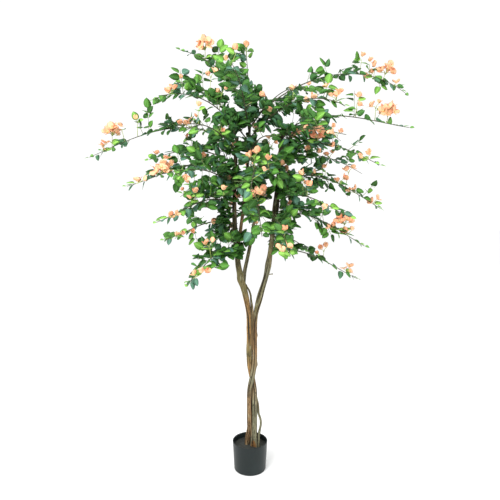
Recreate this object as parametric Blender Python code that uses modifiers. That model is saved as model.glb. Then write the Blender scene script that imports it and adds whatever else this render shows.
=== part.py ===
"""Artificial bougainvillea tree: twisted wooden stems in a small plastic pot, under arching flowering sprays.

Metres, +Z up. The origin is the centre of the pot's flat underside, and the front of the tree faces -Y.
Every stem, bough and spray is worked out from a few named sizes. A spray is one arching stem that
branches by a seeded rule, and it keeps to the space that lies nearer to it than to any other spray.
"""

import math
import random

import bmesh
import bpy
import numpy as np

GAP = 0.0003  # clearance between neighbouring solids

# Pot and its filler
POT_HEIGHT = 0.141
POT_RIM_RADIUS = 0.085
POT_FOOT_RADIUS = 0.0773
POT_WALL = 0.0025
POT_FLOOR = 0.003
POT_FOOT_ROUND = 0.003
POT_SIDES = 40
FILLER_TOP = 0.115
FILLER_FOOT = POT_FLOOR + GAP

# The pair of stems that wind round each other, from the filler up to where they part
PAIR_X = 0.0095
PAIR_GAP = 0.0010
FOOT_ANGLE = -50.0  # direction from the right stem to the left one at the foot, degrees from +X
UNWIND = (0.13, 0.28)  # heights between which the feet swing into line
CROSSING = (0.33, 0.59)  # heights between which the stems change sides
PARTING = 0.772  # height at which they begin to lean apart
PARTING_EASE = 0.030
LEFT_LEAN = -0.19
RIGHT_LEAN = 0.25
LEFT_TOP = 0.975
RIGHT_TOP = 1.0
LEFT_RADII = ((FILLER_TOP, 0.0165), (0.20, 0.0135), (0.45, 0.0130), (0.80, 0.0125), (LEFT_TOP, 0.0165))
RIGHT_RADII = ((FILLER_TOP, 0.0150), (0.20, 0.0120), (0.60, 0.0120), (0.80, 0.0110), (RIGHT_TOP, 0.0120))
STEM_STEP = 0.035
WOOD_RESOLUTION = 2  # bevel resolution of a wooden tube, which gives it eight sides
WOOD_FLAT = math.cos(math.pi / 8)  # how far a side of it lies from its axis, as a share of its radius
COLLAR = 0.004  # upright piece at each end of a stem, which makes its cut level
PUSH_ROUNDS = 4

# The thin stem beside them, which bows out in a low loop, and the vine in the fork
THIN_RADIUS = 0.0056
THIN_TOP = 0.46
THIN_FOOT = (0.0430, -0.016)
THIN_LOOP = (0.195, 0.275)
THIN_LOOP_REACH = 0.010
THIN_LOOP_EASE = (0.030, 0.010)  # how far the bends run on below and above the loop's ends
THIN_BEHIND = (-0.030, 0.028)  # where the top ends, from the straight line up
VINE_RADIUS = 0.0046
VINE_FOOT = 0.610
VINE_TOP = 0.900
VINE_BEND = 0.820
VINE_FRONT = -0.012

# Boughs as cubic curves: start, two handles, end, then the radius at the start and at the end.
# The leader's start is the side of the outer left bough: the bough, the height and the azimuth.
BOUGHS = {
    "bough_outer_left": (
        (-0.0485, 0.0, LEFT_TOP + GAP), (-0.064, 0.0, 1.07), (-0.088, -0.03, 1.22), (-0.060, -0.03, 1.60),
        0.0125, 0.0085),
    "bough_inner_left": (
        (-0.0268, 0.0, LEFT_TOP + GAP), (-0.008, 0.010, 1.06), (0.030, 0.040, 1.20), (0.050, 0.060, 1.52),
        0.0082, 0.0060),
    "bough_right": (
        (0.0830, 0.0, RIGHT_TOP + GAP), (0.105, -0.015, 1.10), (0.130, -0.010, 1.36), (0.150, 0.010, 1.64),
        0.0120, 0.0098),
    "bough_leader": (
        ("bough_outer_left", 1.135, 25), (-0.040, 0.012, 1.22), (-0.008, 0.020, 1.40), (0.000, 0.015, 1.71),
        0.0085, 0.0062),
}
BOUGH_STEPS = 9
NUB_HEIGHT = 0.962
NUB_LENGTH = 0.027
NUB_RADIUS = 0.0034
NUB_RISE = 0.003
NUB_SAG = 0.001
NUB_TAPER = (1.0, 0.8, 0.6)

# Sprays: name, bough, height on the bough, azimuth, reach, height of the tip, rise at the start and
# fall at the end (all angles in degrees, azimuth from +X towards +Y), flower heads at the tip
SPRAYS = (
    ("spray_top", "bough_leader", 1.695, 110, 0.06, 2.04, 84, -75, 1),
    ("spray_top_left", "bough_leader", 1.665, 186, 0.315, 1.99, 78, -10, 3),
    ("spray_top_right", "bough_leader", 1.680, 9, 0.77, 1.84, 46, 34, 3),
    ("spray_top_back", "bough_leader", 1.640, 98, 0.50, 1.93, 55, -5, 1),
    ("spray_top_front", "bough_leader", 1.620, 262, 0.46, 1.80, 42, 4, 1),
    ("spray_top_corner", "bough_leader", 1.650, 50, 0.55, 1.93, 48, 2, 2),
    ("spray_upper_left", "bough_leader", 1.590, 150, 0.45, 1.91, 48, 6, 1),
    ("spray_front_right_high", "bough_leader", 1.600, 318, 0.50, 1.68, 42, 30, 2),
    ("spray_inner_front", "bough_leader", 1.520, 288, 0.36, 1.56, 34, 10, 1),
    ("spray_inner_back", "bough_leader", 1.500, 70, 0.40, 1.60, 38, 8, 1),
    ("spray_left_high", "bough_outer_left", 1.590, 211, 0.39, 1.72, 80, 36, 1),
    ("spray_left_long", "bough_outer_left", 1.570, 173, 0.71, 1.52, 34, 22, 3),
    ("spray_left_front_high", "bough_outer_left", 1.530, 243, 0.45, 1.58, 34, 16, 1),
    ("spray_left_back_high", "bough_outer_left", 1.540, 125, 0.50, 1.70, 38, 12, 1),
    ("spray_left_back_long", "bough_outer_left", 1.480, 156, 0.48, 1.52, 32, 14, 1),
    ("spray_left_middle", "bough_outer_left", 1.430, 211, 0.50, 1.365, 34, 16, 2),
    ("spray_left_front", "bough_outer_left", 1.370, 240, 0.50, 1.40, 28, 12, 1),
    ("spray_left_back", "bough_outer_left", 1.350, 130, 0.48, 1.34, 30, 20, 1),
    ("spray_left_low", "bough_outer_left", 1.290, 226, 0.43, 1.22, 26, 16, 1),
    ("spray_left_side", "bough_outer_left", 1.240, 168, 0.27, 1.27, 34, 8, 1),
    ("spray_left_low_front", "bough_outer_left", 1.190, 208, 0.34, 1.14, 32, 12, 1),
    ("spray_left_low_back", "bough_outer_left", 1.130, 118, 0.42, 1.05, 26, 24, 1),
    ("spray_hanging_left", "bough_outer_left", 1.075, 247, 0.46, 0.985, 20, 18, 1),
    ("spray_centre_back", "bough_inner_left", 1.480, 95, 0.60, 1.50, 34, 18, 1),
    ("spray_centre_front", "bough_inner_left", 1.400, 266, 0.58, 1.33, 28, 24, 1),
    ("spray_centre_side", "bough_inner_left", 1.340, 245, 0.34, 1.33, 34, 14, 1),
    ("spray_centre_low", "bough_inner_left", 1.270, 272, 0.50, 1.17, 20, 18, 1),
    ("spray_centre_back_low", "bough_inner_left", 1.230, 88, 0.52, 1.15, 28, 24, 1),
    ("spray_right_high", "bough_right", 1.625, 345, 0.56, 1.625, 36, 12, 3),
    ("spray_right_back_high", "bough_right", 1.600, 52, 0.60, 1.66, 38, 16, 1),
    ("spray_right_front_high", "bough_right", 1.560, 293, 0.52, 1.54, 30, 14, 2),
    ("spray_right_long", "bough_right", 1.520, 323, 0.48, 1.45, 32, 28, 1),
    ("spray_right_back_long", "bough_right", 1.470, 32, 0.54, 1.46, 32, 20, 1),
    ("spray_right_middle", "bough_right", 1.400, 6, 0.50, 1.275, 26, 30, 1),
    ("spray_right_back", "bough_right", 1.350, 62, 0.48, 1.32, 28, 20, 1),
    ("spray_right_front", "bough_right", 1.300, 305, 0.46, 1.24, 26, 20, 1),
    ("spray_right_side", "bough_right", 1.250, 342, 0.41, 1.11, 10, 30, 1),
    ("spray_right_inner", "bough_right", 1.440, 258, 0.36, 1.42, 34, 14, 1),
    ("spray_right_low_front", "bough_right", 1.190, 275, 0.46, 1.10, 22, 18, 1),
    ("spray_right_low_back", "bough_right", 1.140, 48, 0.42, 1.00, 4, 22, 1),
    ("spray_right_lowest", "bough_right", 1.080, 8, 0.43, 0.935, 6, 26, 1),
)

# What a spray is made of
SPRAY_SEED = 41
STEM_RADIUS = 0.0038
STEM_TIP_RADIUS = 0.0024
STEM_SIDES = 3
STEM_PIECES = 12  # straight pieces that stand for a stem when spaces are compared
HANDLE_START = 0.40  # a stem's two Bezier handles, as shares of the way from its start to its end
HANDLE_END = 0.36
BARE_SHARE = 0.10  # the share of a stem at its foot that carries nothing
SEAT_ROUNDS = 6
NEARLY_UP = (0.02, 0.01, 1.0)  # no stem or stalk lies along this

TWIG_SPACING = 0.110
TWIG_LENGTH = 0.068
TWIG_LENGTHS = (0.75, 1.15)
TWIG_SHORTENING = 0.35  # twigs at the tip are this share shorter
TWIG_TAPER = 0.85
TWIG_SPREAD = 52.0  # angle to the stem, degrees
TWIG_RISE = (2.0, 55.0)  # angle above the level, degrees
TWIG_LEAF_PLACE = 0.5  # where the side leaf sits along a twig

LEAF_LENGTH = 0.078
LEAF_SIZES = (0.85, 1.10)
LEAF_WIDTH = 0.68  # these four are shares of the leaf's length
LEAF_THICKNESS = 0.025
LEAF_CUP = 0.05
LEAF_WIDEST = 0.42
LEAF_TOP_UP = 0.1
LEAF_FORWARD = 0.35  # how much a side leaf leans along its twig
STEM_LEAF_FORWARD = 0.5
LEAF_LIFTS = (0.0, 0.8)
LEAF_OFFSET = 0.012  # from a twig's foot back to the leaf on the stem's other side
LEAF_TRIES = 8
LEAF_SHRINK = 0.06
TIP_LEAF = 0.5
END_WANDER = 0.12  # how far a leaf strays from its heading, at an end, on a stem and on a twig's side
STEM_WANDER = 0.2
SIDE_WANDER = 0.3
ROOT_DEPTH = 0.0011  # how far a leaf is sunk in the end of a stem or twig
SIDE_ROOT = 0.4  # how far it is sunk in a side, as a share of the radius

STALK_LENGTH = 0.028
FLOWER_PLACE = 0.8  # where the first flower head sits on the stem's last piece, and the step to the next
FLOWER_STEP = 0.25
FLOWER_WANDER = 0.6
FLOWER_RISE = 0.9
FLOWER_FORWARD = 0.4
BRACTS = 3
BRACT_REACH = 0.027
BRACT_LIFT = 0.013
NOTCH_REACH = 0.012
NOTCH_LIFT = 0.004
FLOWER_DEPTH = 0.003

SPACE_MARGIN = 0.0016  # how much nearer to its own stem than to any other a leaf or twig stays
LIMB_MARGIN = 0.0015

# Colours: red, green, blue, roughness
BARK = (0.26, 0.18, 0.10, 0.85)
VINE_BARK = (0.20, 0.16, 0.09, 0.85)
LEAF_GREEN = (0.05, 0.20, 0.04, 0.60)
POT_BLACK = (0.030, 0.036, 0.037, 0.45)
FILLER_GREY = (0.040, 0.042, 0.036, 0.90)


def clear_scene():
    for item in list(bpy.data.objects):
        bpy.data.objects.remove(item, do_unlink=True)


def make_material(name, finish):
    red, green, blue, roughness = finish
    material = bpy.data.materials.new(name)
    material.use_nodes = True
    shader = material.node_tree.nodes["Principled BSDF"]
    shader.inputs["Base Color"].default_value = (red, green, blue, 1.0)
    shader.inputs["Roughness"].default_value = roughness
    shader.inputs["Metallic"].default_value = 0.0
    return material


def smooth(low, high, value):
    """Eases from 0 at low to 1 at high."""
    t = min(max((value - low) / (high - low), 0.0), 1.0)
    return t * t * (3.0 - 2.0 * t)


def radius_at(table, height):
    heights = [row[0] for row in table]
    radii = [row[1] for row in table]
    return float(np.interp(height, heights, radii))


def mesh_object(name, vertices, faces, collection):
    mesh = bpy.data.meshes.new(name)
    mesh.from_pydata([tuple(v) for v in vertices], [], faces)
    item = bpy.data.objects.new(name, mesh)
    collection.objects.link(item)
    return item


# Pot ------------------------------------------------------------------------------------------------

def turned(name, profile, sides, material, collection):
    """A profile in the XZ plane, from the axis to the axis, carried once round by a Screw modifier."""
    edges = [(i, i + 1) for i in range(len(profile) - 1)]
    mesh = bpy.data.meshes.new(name)
    mesh.from_pydata([(radius, 0.0, height) for radius, height in profile], edges, [])
    item = bpy.data.objects.new(name, mesh)
    collection.objects.link(item)
    screw = item.modifiers.new("Turn", "SCREW")
    screw.angle = math.tau
    screw.steps = sides
    screw.render_steps = sides
    screw.use_merge_vertices = True
    screw.merge_threshold = 0.00005
    screw.use_smooth_shade = False
    mesh.materials.append(material)
    return item


def pot_radius(height):
    """Outer radius of the straight tapering side."""
    return POT_FOOT_RADIUS + (POT_RIM_RADIUS - POT_FOOT_RADIUS) * height / POT_HEIGHT


def build_pot(material, collection):
    profile = (
        (0.0, POT_FLOOR),
        (pot_radius(POT_FLOOR) - POT_WALL, POT_FLOOR),
        (POT_RIM_RADIUS - POT_WALL, POT_HEIGHT),
        (POT_RIM_RADIUS, POT_HEIGHT),
        (pot_radius(POT_FOOT_ROUND), POT_FOOT_ROUND),
        (POT_FOOT_RADIUS - POT_FOOT_ROUND, 0.0),
        (0.0, 0.0),
    )
    return turned("pot", profile, POT_SIDES, material, collection)


def build_filler(material, collection):
    profile = (
        (0.0, FILLER_TOP),
        (pot_radius(FILLER_TOP) - POT_WALL - GAP, FILLER_TOP),
        (pot_radius(FILLER_FOOT) - POT_WALL - GAP, FILLER_FOOT),
        (0.0, FILLER_FOOT),
    )
    return turned("pot_filler", profile, POT_SIDES, material, collection)


# Stems and boughs -----------------------------------------------------------------------------------

def wooden_tube(name, points, radii, material, collection):
    """A tapering tube along a path, with flat caps: the path's ends set how the caps lie."""
    curve = bpy.data.curves.new(name, "CURVE")
    curve.dimensions = "3D"
    curve.bevel_depth = 1.0
    curve.bevel_resolution = WOOD_RESOLUTION
    curve.use_fill_caps = True
    spline = curve.splines.new("POLY")
    spline.points.add(len(points) - 1)
    for target, point, radius in zip(spline.points, points, radii):
        target.co = (*point, 1.0)
        target.radius = radius
    item = bpy.data.objects.new(name, curve)
    collection.objects.link(item)
    bpy.context.view_layer.update()
    graph = bpy.context.evaluated_depsgraph_get()
    mesh = bpy.data.meshes.new_from_object(item.evaluated_get(graph))
    bpy.data.objects.remove(item, do_unlink=True)
    work = bmesh.new()
    work.from_mesh(mesh)
    bmesh.ops.remove_doubles(work, verts=work.verts, dist=0.00001)
    bmesh.ops.recalc_face_normals(work, faces=work.faces)
    work.to_mesh(mesh)
    work.free()
    mesh.name = name
    mesh.materials.clear()
    mesh.materials.append(material)
    solid = bpy.data.objects.new(name, mesh)
    collection.objects.link(solid)
    return solid


def pair_angle(height):
    """Direction from the right stem's axis to the left stem's axis."""
    foot = math.radians(FOOT_ANGLE) * (1.0 - smooth(*UNWIND, height))
    return foot + math.pi * smooth(*CROSSING, height)


def pair_axis(height, side):
    """Axis of one stem of the pair: side is 1 for the left stem and -1 for the right stem."""
    reach = 0.5 * (radius_at(LEFT_RADII, height) + radius_at(RIGHT_RADII, height) + PAIR_GAP)
    angle = pair_angle(height)
    above = height - PARTING
    rise = 0.5 * (above + math.hypot(above, PARTING_EASE))
    lean = LEFT_LEAN if side > 0 else RIGHT_LEAN
    x = PAIR_X + side * reach * math.cos(angle) + lean * rise
    return np.array((x, side * reach * math.sin(angle), height))


def heights_between(low, high, step):
    count = max(2, round((high - low) / step))
    return [low + (high - low) * i / count for i in range(count + 1)]


def upright_path(axis, low, high, step):
    """Points of an axis, with a short upright piece at each end so that both cuts are level."""
    heights = heights_between(low, high, step)
    points = [axis(height) for height in heights]
    first = points[0] + np.array((0.0, 0.0, COLLAR))
    last = points[-1] - np.array((0.0, 0.0, COLLAR))
    return [points[0], first, *points[1:-1], last, points[-1]]


def build_stem(name, side, table, top, material, collection):
    foot = FILLER_TOP + GAP
    points = upright_path(lambda height: pair_axis(height, side), foot, top, STEM_STEP)
    radii = [radius_at(table, point[2]) for point in points]
    return wooden_tube(name, points, radii, material, collection)


def pushed_clear(point, radius):
    """Moves a point of a thin stem level, out of the pair of stems, until it lies against them."""
    for _ in range(PUSH_ROUNDS):
        for side, table in ((1, LEFT_RADII), (-1, RIGHT_RADII)):
            away = point[:2] - pair_axis(point[2], side)[:2]
            reach = radius_at(table, point[2]) + radius + PAIR_GAP
            distance = np.linalg.norm(away)
            if distance < reach:
                point[:2] += away / distance * (reach - distance)
    return point


def thin_stem_axis(height):
    """Up the right side of the left stem, out in a loop, then round behind the pair."""
    loop_low, loop_high = THIN_LOOP
    below, above = THIN_LOOP_EASE
    middle = 0.5 * (loop_low + loop_high)
    bow = smooth(loop_low - below, middle - above, height) * (1.0 - smooth(middle, loop_high + above, height))
    behind = smooth(loop_high - below, THIN_TOP, height)
    x = THIN_FOOT[0] + THIN_LOOP_REACH * bow + THIN_BEHIND[0] * behind
    y = THIN_FOOT[1] * (1.0 - smooth(FILLER_TOP, loop_low, height)) + THIN_BEHIND[1] * behind
    return pushed_clear(np.array((x, y, height)), THIN_RADIUS)


def build_thin_stem(material, collection):
    foot = FILLER_TOP + GAP
    points = upright_path(thin_stem_axis, foot, THIN_TOP, STEM_STEP * 0.5)
    radii = [THIN_RADIUS] * len(points)
    return wooden_tube("stem_thin", points, radii, material, collection)


def vine_axis(height):
    """Up the groove in front of the pair, then in an arc across the fork to the left stem's side."""
    t = smooth(VINE_BEND, VINE_TOP, height)
    left = pair_axis(height, 1)
    right = pair_axis(height, -1)
    middle = 0.5 * (left + right)
    touching = left[0] + radius_at(LEFT_RADII, height) + VINE_RADIUS + PAIR_GAP
    x = middle[0] + (touching - middle[0]) * t
    y = VINE_FRONT * (1.0 - t)
    return pushed_clear(np.array((x, y, height)), VINE_RADIUS)


def build_vine(material, collection):
    points = upright_path(vine_axis, VINE_FOOT, VINE_TOP, STEM_STEP * 0.5)
    radii = [VINE_RADIUS] * len(points)
    return wooden_tube("vine_in_fork", points, radii, material, collection)


def unit(vector):
    return vector / np.linalg.norm(vector)


def direction(azimuth, rise):
    """Unit vector at an azimuth and a rise, both in degrees."""
    a = math.radians(azimuth)
    r = math.radians(rise)
    return np.array((math.cos(a) * math.cos(r), math.sin(a) * math.cos(r), math.sin(r)))


def bough_at(name, height):
    """Axis point and radius of a bough at a height."""
    points, radii = bough_path(name)
    heights = [point[2] for point in points]
    x = np.interp(height, heights, [point[0] for point in points])
    y = np.interp(height, heights, [point[1] for point in points])
    return np.array((x, y, height)), float(np.interp(height, heights, radii))


def bezier(start, first, second, end, t):
    start, first, second, end = (np.array(p, dtype=float) for p in (start, first, second, end))
    s = 1.0 - t
    return s * s * s * start + 3 * s * s * t * first + 3 * s * t * t * second + t * t * t * end


def bough_path(name):
    """Axis points and radii of a bough, thick at its start and slim at its tip."""
    start, first, second, end, thick, slim = BOUGHS[name]
    if isinstance(start[0], str):
        carrier, height, azimuth = start
        axis, radius = bough_at(carrier, height)
        start = axis + direction(azimuth, 0.0) * ((radius + thick) * WOOD_FLAT + GAP)
    steps = [i / BOUGH_STEPS for i in range(BOUGH_STEPS + 1)]
    points = [bezier(start, first, second, end, t) for t in steps]
    radii = [thick + (slim - thick) * t for t in steps]
    return points, radii


def build_bough(name, material, collection):
    points, radii = bough_path(name)
    points.insert(1, points[0] + np.array((0.0, 0.0, COLLAR)))
    radii.insert(1, radii[0])
    return wooden_tube(name, points, radii, material, collection)


def build_nub(material, collection):
    axis = pair_axis(NUB_HEIGHT, -1)
    seat = radius_at(RIGHT_RADII, NUB_HEIGHT) * math.hypot(1.0, RIGHT_LEAN) + NUB_RADIUS * RIGHT_LEAN + GAP
    start = axis + np.array((seat, 0.0, 0.0))
    end = start + np.array((NUB_LENGTH, 0.0, NUB_RISE))
    middle = 0.5 * (start + end) - np.array((0.0, 0.0, NUB_SAG))
    radii = [NUB_RADIUS * share for share in NUB_TAPER]
    return wooden_tube("nub_twig", (start, middle, end), radii, material, collection)


# Sprays ---------------------------------------------------------------------------------------------

def stem_foot(bough, height, azimuth, rise):
    """Where a spray's stem starts: slid out from the bough's axis until its cut end lies a gap off the bark."""
    wood = bpy.data.objects[bough]
    axis, radius = bough_at(bough, height)
    outward = direction(azimuth, 0.0)
    foot = axis + outward * (radius + 2.0 * STEM_RADIUS)
    level, upper = cross_axes(direction(azimuth, rise))
    corners = [math.tau * k / STEM_SIDES + math.pi / 2 for k in range(STEM_SIDES)]
    corners = [STEM_RADIUS * (math.cos(a) * level + math.sin(a) * upper) for a in corners]
    corners += [0.5 * (corners[k] + corners[k - 1]) for k in range(STEM_SIDES)]
    for _ in range(SEAT_ROUNDS):
        spare = min(distance_to_wood(wood, foot + corner) for corner in corners) - GAP
        foot = foot - outward * spare
    return foot


def distance_to_wood(wood, point):
    _, nearest, _, _ = wood.closest_point_on_mesh(point)
    return float(np.linalg.norm(np.array(nearest) - point))


def stem_curve(spray):
    """The arching stem of a spray: a cubic curve from its bough's side, at 0, to its tip, at 1."""
    _, bough, height, azimuth, reach, tip_height, rise, fall, _ = spray
    axis, _ = bough_at(bough, height)
    outward = direction(azimuth, 0.0)
    start = stem_foot(bough, height, azimuth, rise)
    end = axis + outward * reach
    end[2] = tip_height
    span = np.linalg.norm(end - start)
    first = start + direction(azimuth, rise) * span * HANDLE_START
    second = end - direction(azimuth, -fall) * span * HANDLE_END
    return lambda t: bezier(start, first, second, end, t)


def tube_solid(points, radii):
    """Three-sided tapering tube, one corner up, with a flat cut at each end."""
    sides = STEM_SIDES
    count = len(points)
    vertices = []
    for i in range(count):
        tangent = unit(points[min(i + 1, count - 1)] - points[max(i - 1, 0)])
        level, upper = cross_axes(tangent)
        for k in range(sides):
            angle = math.tau * k / sides + math.pi / 2
            vertices.append(points[i] + radii[i] * (math.cos(angle) * level + math.sin(angle) * upper))
    faces = [tuple(range(sides)), tuple(range(sides * count - 1, sides * count - 1 - sides, -1))]
    for i in range(count - 1):
        for k in range(sides):
            a, b = i * sides + k, i * sides + (k + 1) % sides
            faces.append((a, a + sides, b + sides, b))
    return vertices, faces


def cross_axes(tangent):
    """Level and upper axes across a path."""
    level = unit(np.cross(tangent, NEARLY_UP))
    return level, np.cross(level, tangent)


def leaf_solid(root, along, normal, length):
    """Six faces: root, tip and two corners round a raised rib point, flat beneath from corner to corner."""
    normal = unit(normal - along * np.dot(normal, along))
    side = np.cross(normal, along)
    widest = root + along * length * LEAF_WIDEST + normal * length * LEAF_CUP
    tip = root + along * length - normal * length * LEAF_CUP
    left = widest + side * length * LEAF_WIDTH * 0.5
    right = widest - side * length * LEAF_WIDTH * 0.5
    rib = widest + normal * length * LEAF_THICKNESS
    vertices = [root, tip, left, right, rib]
    faces = [(0, 4, 2), (4, 1, 2), (0, 3, 4), (3, 1, 4), (0, 2, 3), (1, 3, 2)]
    return vertices, faces


def flower_solid(centre, heading, turn):
    """Three pointed bracts as one cup: tips and notches in turn round an inner and an outer middle point."""
    first, second = cross_axes(heading)
    vertices = [centre + heading * FLOWER_DEPTH * 0.5, centre - heading * FLOWER_DEPTH * 0.5]
    rim = 2 * BRACTS
    for k in range(rim):
        reach, lift = (BRACT_REACH, BRACT_LIFT) if k % 2 == 0 else (NOTCH_REACH, NOTCH_LIFT)
        angle = turn + math.tau * k / rim
        outward = math.cos(angle) * first + math.sin(angle) * second
        vertices.append(centre + outward * reach + heading * lift)
    faces = []
    for k in range(rim):
        a, b = 2 + k, 2 + (k + 1) % rim
        faces.append((0, b, a))
        faces.append((1, a, b))
    return vertices, faces


def distances_to_path(points, path):
    """Distance of each point from a path of straight pieces."""
    starts, steps = path[:-1], path[1:] - path[:-1]
    offsets = points[:, None, :] - starts[None, :, :]
    t = np.clip((offsets * steps).sum(-1) / (steps * steps).sum(-1), 0.0, 1.0)
    return np.linalg.norm(offsets - t[..., None] * steps, axis=-1).min(axis=1)


class Crown:
    """The paths of all stems and limbs, which say what space a spray may fill."""

    def __init__(self):
        self.curves = {spray[0]: stem_curve(spray) for spray in SPRAYS}
        steps = [i / STEM_PIECES for i in range(STEM_PIECES + 1)]
        self.stems = {name: np.array([curve(t) for t in steps]) for name, curve in self.curves.items()}
        self.limbs = []
        for name in BOUGHS:
            points, radii = bough_path(name)
            self.limbs.append((np.array(points), max(radii)))
        for side, table, top in ((1, LEFT_RADII, LEFT_TOP), (-1, RIGHT_RADII, RIGHT_TOP)):
            axis = [pair_axis(height, side) for height in heights_between(FILLER_TOP, top, STEM_STEP)]
            self.limbs.append((np.array(axis), max(row[1] for row in table)))

    def has_room(self, name, points):
        """True where every point is nearer to its own stem than to any other, and clear of the wood."""
        points = np.array(points)
        own = distances_to_path(points, self.stems[name])
        for other, path in self.stems.items():
            if other == name:
                continue
            if np.any(distances_to_path(points, path) < own + SPACE_MARGIN):
                return False
        for path, radius in self.limbs:
            if np.any(distances_to_path(points, path) < radius + LIMB_MARGIN):
                return False
        return True


def try_leaf(crown, name, rng, spot, heading, depth, length, wander):
    """A leaf whose root lies a little behind a spot, turned and shrunk until it has room, or nothing."""
    for attempt in range(LEAF_TRIES):
        size = length * rng.uniform(*LEAF_SIZES) * (1.0 - LEAF_SHRINK * attempt)
        along = unit(heading + np.array([rng.uniform(-wander, wander) for _ in range(3)]))
        normal = np.array((rng.uniform(-1.0, 1.0), rng.uniform(-1.0, 1.0), rng.uniform(LEAF_TOP_UP, 1.0)))
        solid = leaf_solid(spot - along * depth, along, normal, size)
        root, tip, left, right, rib = solid[0]
        probe = [tip, left, right, rib, 0.5 * (tip + left), 0.5 * (tip + right), 0.5 * (root + left),
                 0.5 * (root + right)]
        if crown.has_room(name, probe):
            return [solid]
    return []


def grow_twig(crown, name, rng, spot, heading, across, length, radius):
    """A twig with a leaf at its end and one on its side, or nothing where it has no room."""
    end = spot + heading * length
    if not crown.has_room(name, [spot + heading * length * 0.5, end]):
        return []
    end_radius = radius * TWIG_TAPER
    solids = [tube_solid([spot, end], [radius, end_radius])]
    solids += try_leaf(crown, name, rng, end, heading, ROOT_DEPTH, LEAF_LENGTH, END_WANDER)
    middle = spot + heading * length * TWIG_LEAF_PLACE
    sideways = unit(across + LEAF_FORWARD * heading)
    solids += try_leaf(crown, name, rng, middle, sideways, radius * SIDE_ROOT, LEAF_LENGTH, SIDE_WANDER)
    return solids


def grow_flower(crown, name, rng, spot, radius, forward):
    """A flower head on its own short stalk, or nothing where it has no room."""
    aside = [rng.uniform(-FLOWER_WANDER, FLOWER_WANDER) for _ in range(2)]
    heading = unit(np.array((*aside, FLOWER_RISE)) + FLOWER_FORWARD * forward)
    end = spot + heading * STALK_LENGTH
    flower = flower_solid(end, heading, rng.uniform(0.0, math.tau))
    if not crown.has_room(name, flower[0]):
        return []
    return [tube_solid([spot, end], [radius, radius * 0.5]), flower]


def grow_spray(crown, spray, rng):
    """All the closed solids of one spray, each sunk into the one that carries it."""
    name = spray[0]
    curve = crown.curves[name]
    length = np.linalg.norm(crown.stems[name][1:] - crown.stems[name][:-1], axis=1).sum()
    nodes = max(3, round(length * (1.0 - BARE_SHARE) / TWIG_SPACING))
    cuts = [0.0] + [BARE_SHARE + (1.0 - BARE_SHARE) * k / nodes for k in range(nodes + 1)]
    path = [curve(t) for t in cuts]
    radii = [STEM_RADIUS + (STEM_TIP_RADIUS - STEM_RADIUS) * t for t in cuts]
    solids = [tube_solid(path, radii)]
    for k in range(nodes):
        low, high = path[k + 1], path[k + 2]
        spot = 0.5 * (low + high)
        radius = 0.5 * (radii[k + 1] + radii[k + 2])
        tangent = unit(high - low)
        level, _ = cross_axes(tangent)
        side = level if k % 2 else -level
        spread = math.radians(TWIG_SPREAD)
        rise = math.radians(rng.uniform(*TWIG_RISE))
        heading = tangent * math.cos(spread) + side * math.sin(spread)
        heading = unit(heading * math.cos(rise) + np.array((0.0, 0.0, math.sin(rise))))
        reach = TWIG_LENGTH * rng.uniform(*TWIG_LENGTHS) * (1.0 - TWIG_SHORTENING * k / nodes)
        across = unit(tangent if k % 3 else side - tangent)
        solids += grow_twig(crown, name, rng, spot, heading, across, reach, radius * 0.5)
        upward = np.array((0.0, 0.0, rng.uniform(*LEAF_LIFTS)))
        opposite = unit(tangent * STEM_LEAF_FORWARD - side + upward)
        aside = spot - tangent * LEAF_OFFSET
        solids += try_leaf(crown, name, rng, aside, opposite, radius * SIDE_ROOT, LEAF_LENGTH, STEM_WANDER)
    forward = unit(path[-1] - path[-2])
    solids += try_leaf(crown, name, rng, path[-1], forward, ROOT_DEPTH, LEAF_LENGTH * TIP_LEAF, END_WANDER)
    for k in range(spray[8]):
        share = FLOWER_PLACE - FLOWER_STEP * k
        spot = path[-2] + (path[-1] - path[-2]) * share
        solids += grow_flower(crown, name, rng, spot, STEM_TIP_RADIUS * 0.5, forward)
    return solids


def is_closed(mesh):
    work = bmesh.new()
    work.from_mesh(mesh)
    closed = bool(work.edges) and all(edge.is_manifold for edge in work.edges)
    work.free()
    return closed


def keep_largest(mesh):
    """Drops loose scraps and the walls of sealed hollows: only the largest shell stays."""
    work = bmesh.new()
    work.from_mesh(mesh)
    unseen = set(work.verts)
    shells = []
    while unseen:
        stack = [unseen.pop()]
        shell = set(stack)
        while stack:
            for edge in stack.pop().link_edges:
                for vertex in edge.verts:
                    if vertex in unseen:
                        unseen.discard(vertex)
                        shell.add(vertex)
                        stack.append(vertex)
        shells.append(shell)
    shells.sort(key=len, reverse=True)
    scraps = [vertex for shell in shells[1:] for vertex in shell]
    bmesh.ops.delete(work, geom=scraps, context="VERTS")
    work.to_mesh(mesh)
    work.free()


def fused(name, solids, material, collection):
    """Joins overlapping closed solids into one body with a Boolean union on a collection."""
    bench = bpy.data.collections.new(name + "_pieces")
    bpy.context.scene.collection.children.link(bench)
    body = mesh_object(name, *solids[0], collection)
    for number, (vertices, faces) in enumerate(solids[1:]):
        mesh_object(f"{name}_piece_{number}", vertices, faces, bench)
    union = body.modifiers.new("Fuse", "BOOLEAN")
    union.operation = "UNION"
    union.operand_type = "COLLECTION"
    union.collection = bench
    result = None
    for solver in ("EXACT", "MANIFOLD"):
        union.solver = solver
        bpy.context.view_layer.update()
        graph = bpy.context.evaluated_depsgraph_get()
        result = bpy.data.meshes.new_from_object(body.evaluated_get(graph))
        if is_closed(result):
            break
    body.modifiers.clear()
    for item in list(bench.objects):
        bpy.data.objects.remove(item, do_unlink=True)
    bpy.data.collections.remove(bench)
    keep_largest(result)
    result.name = name
    result.materials.clear()
    result.materials.append(material)
    body.data = result
    return body


def build_sprays(material, collection):
    crown = Crown()
    for number, spray in enumerate(SPRAYS):
        rng = random.Random(SPRAY_SEED + number)
        fused(spray[0], grow_spray(crown, spray, rng), material, collection)


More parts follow.
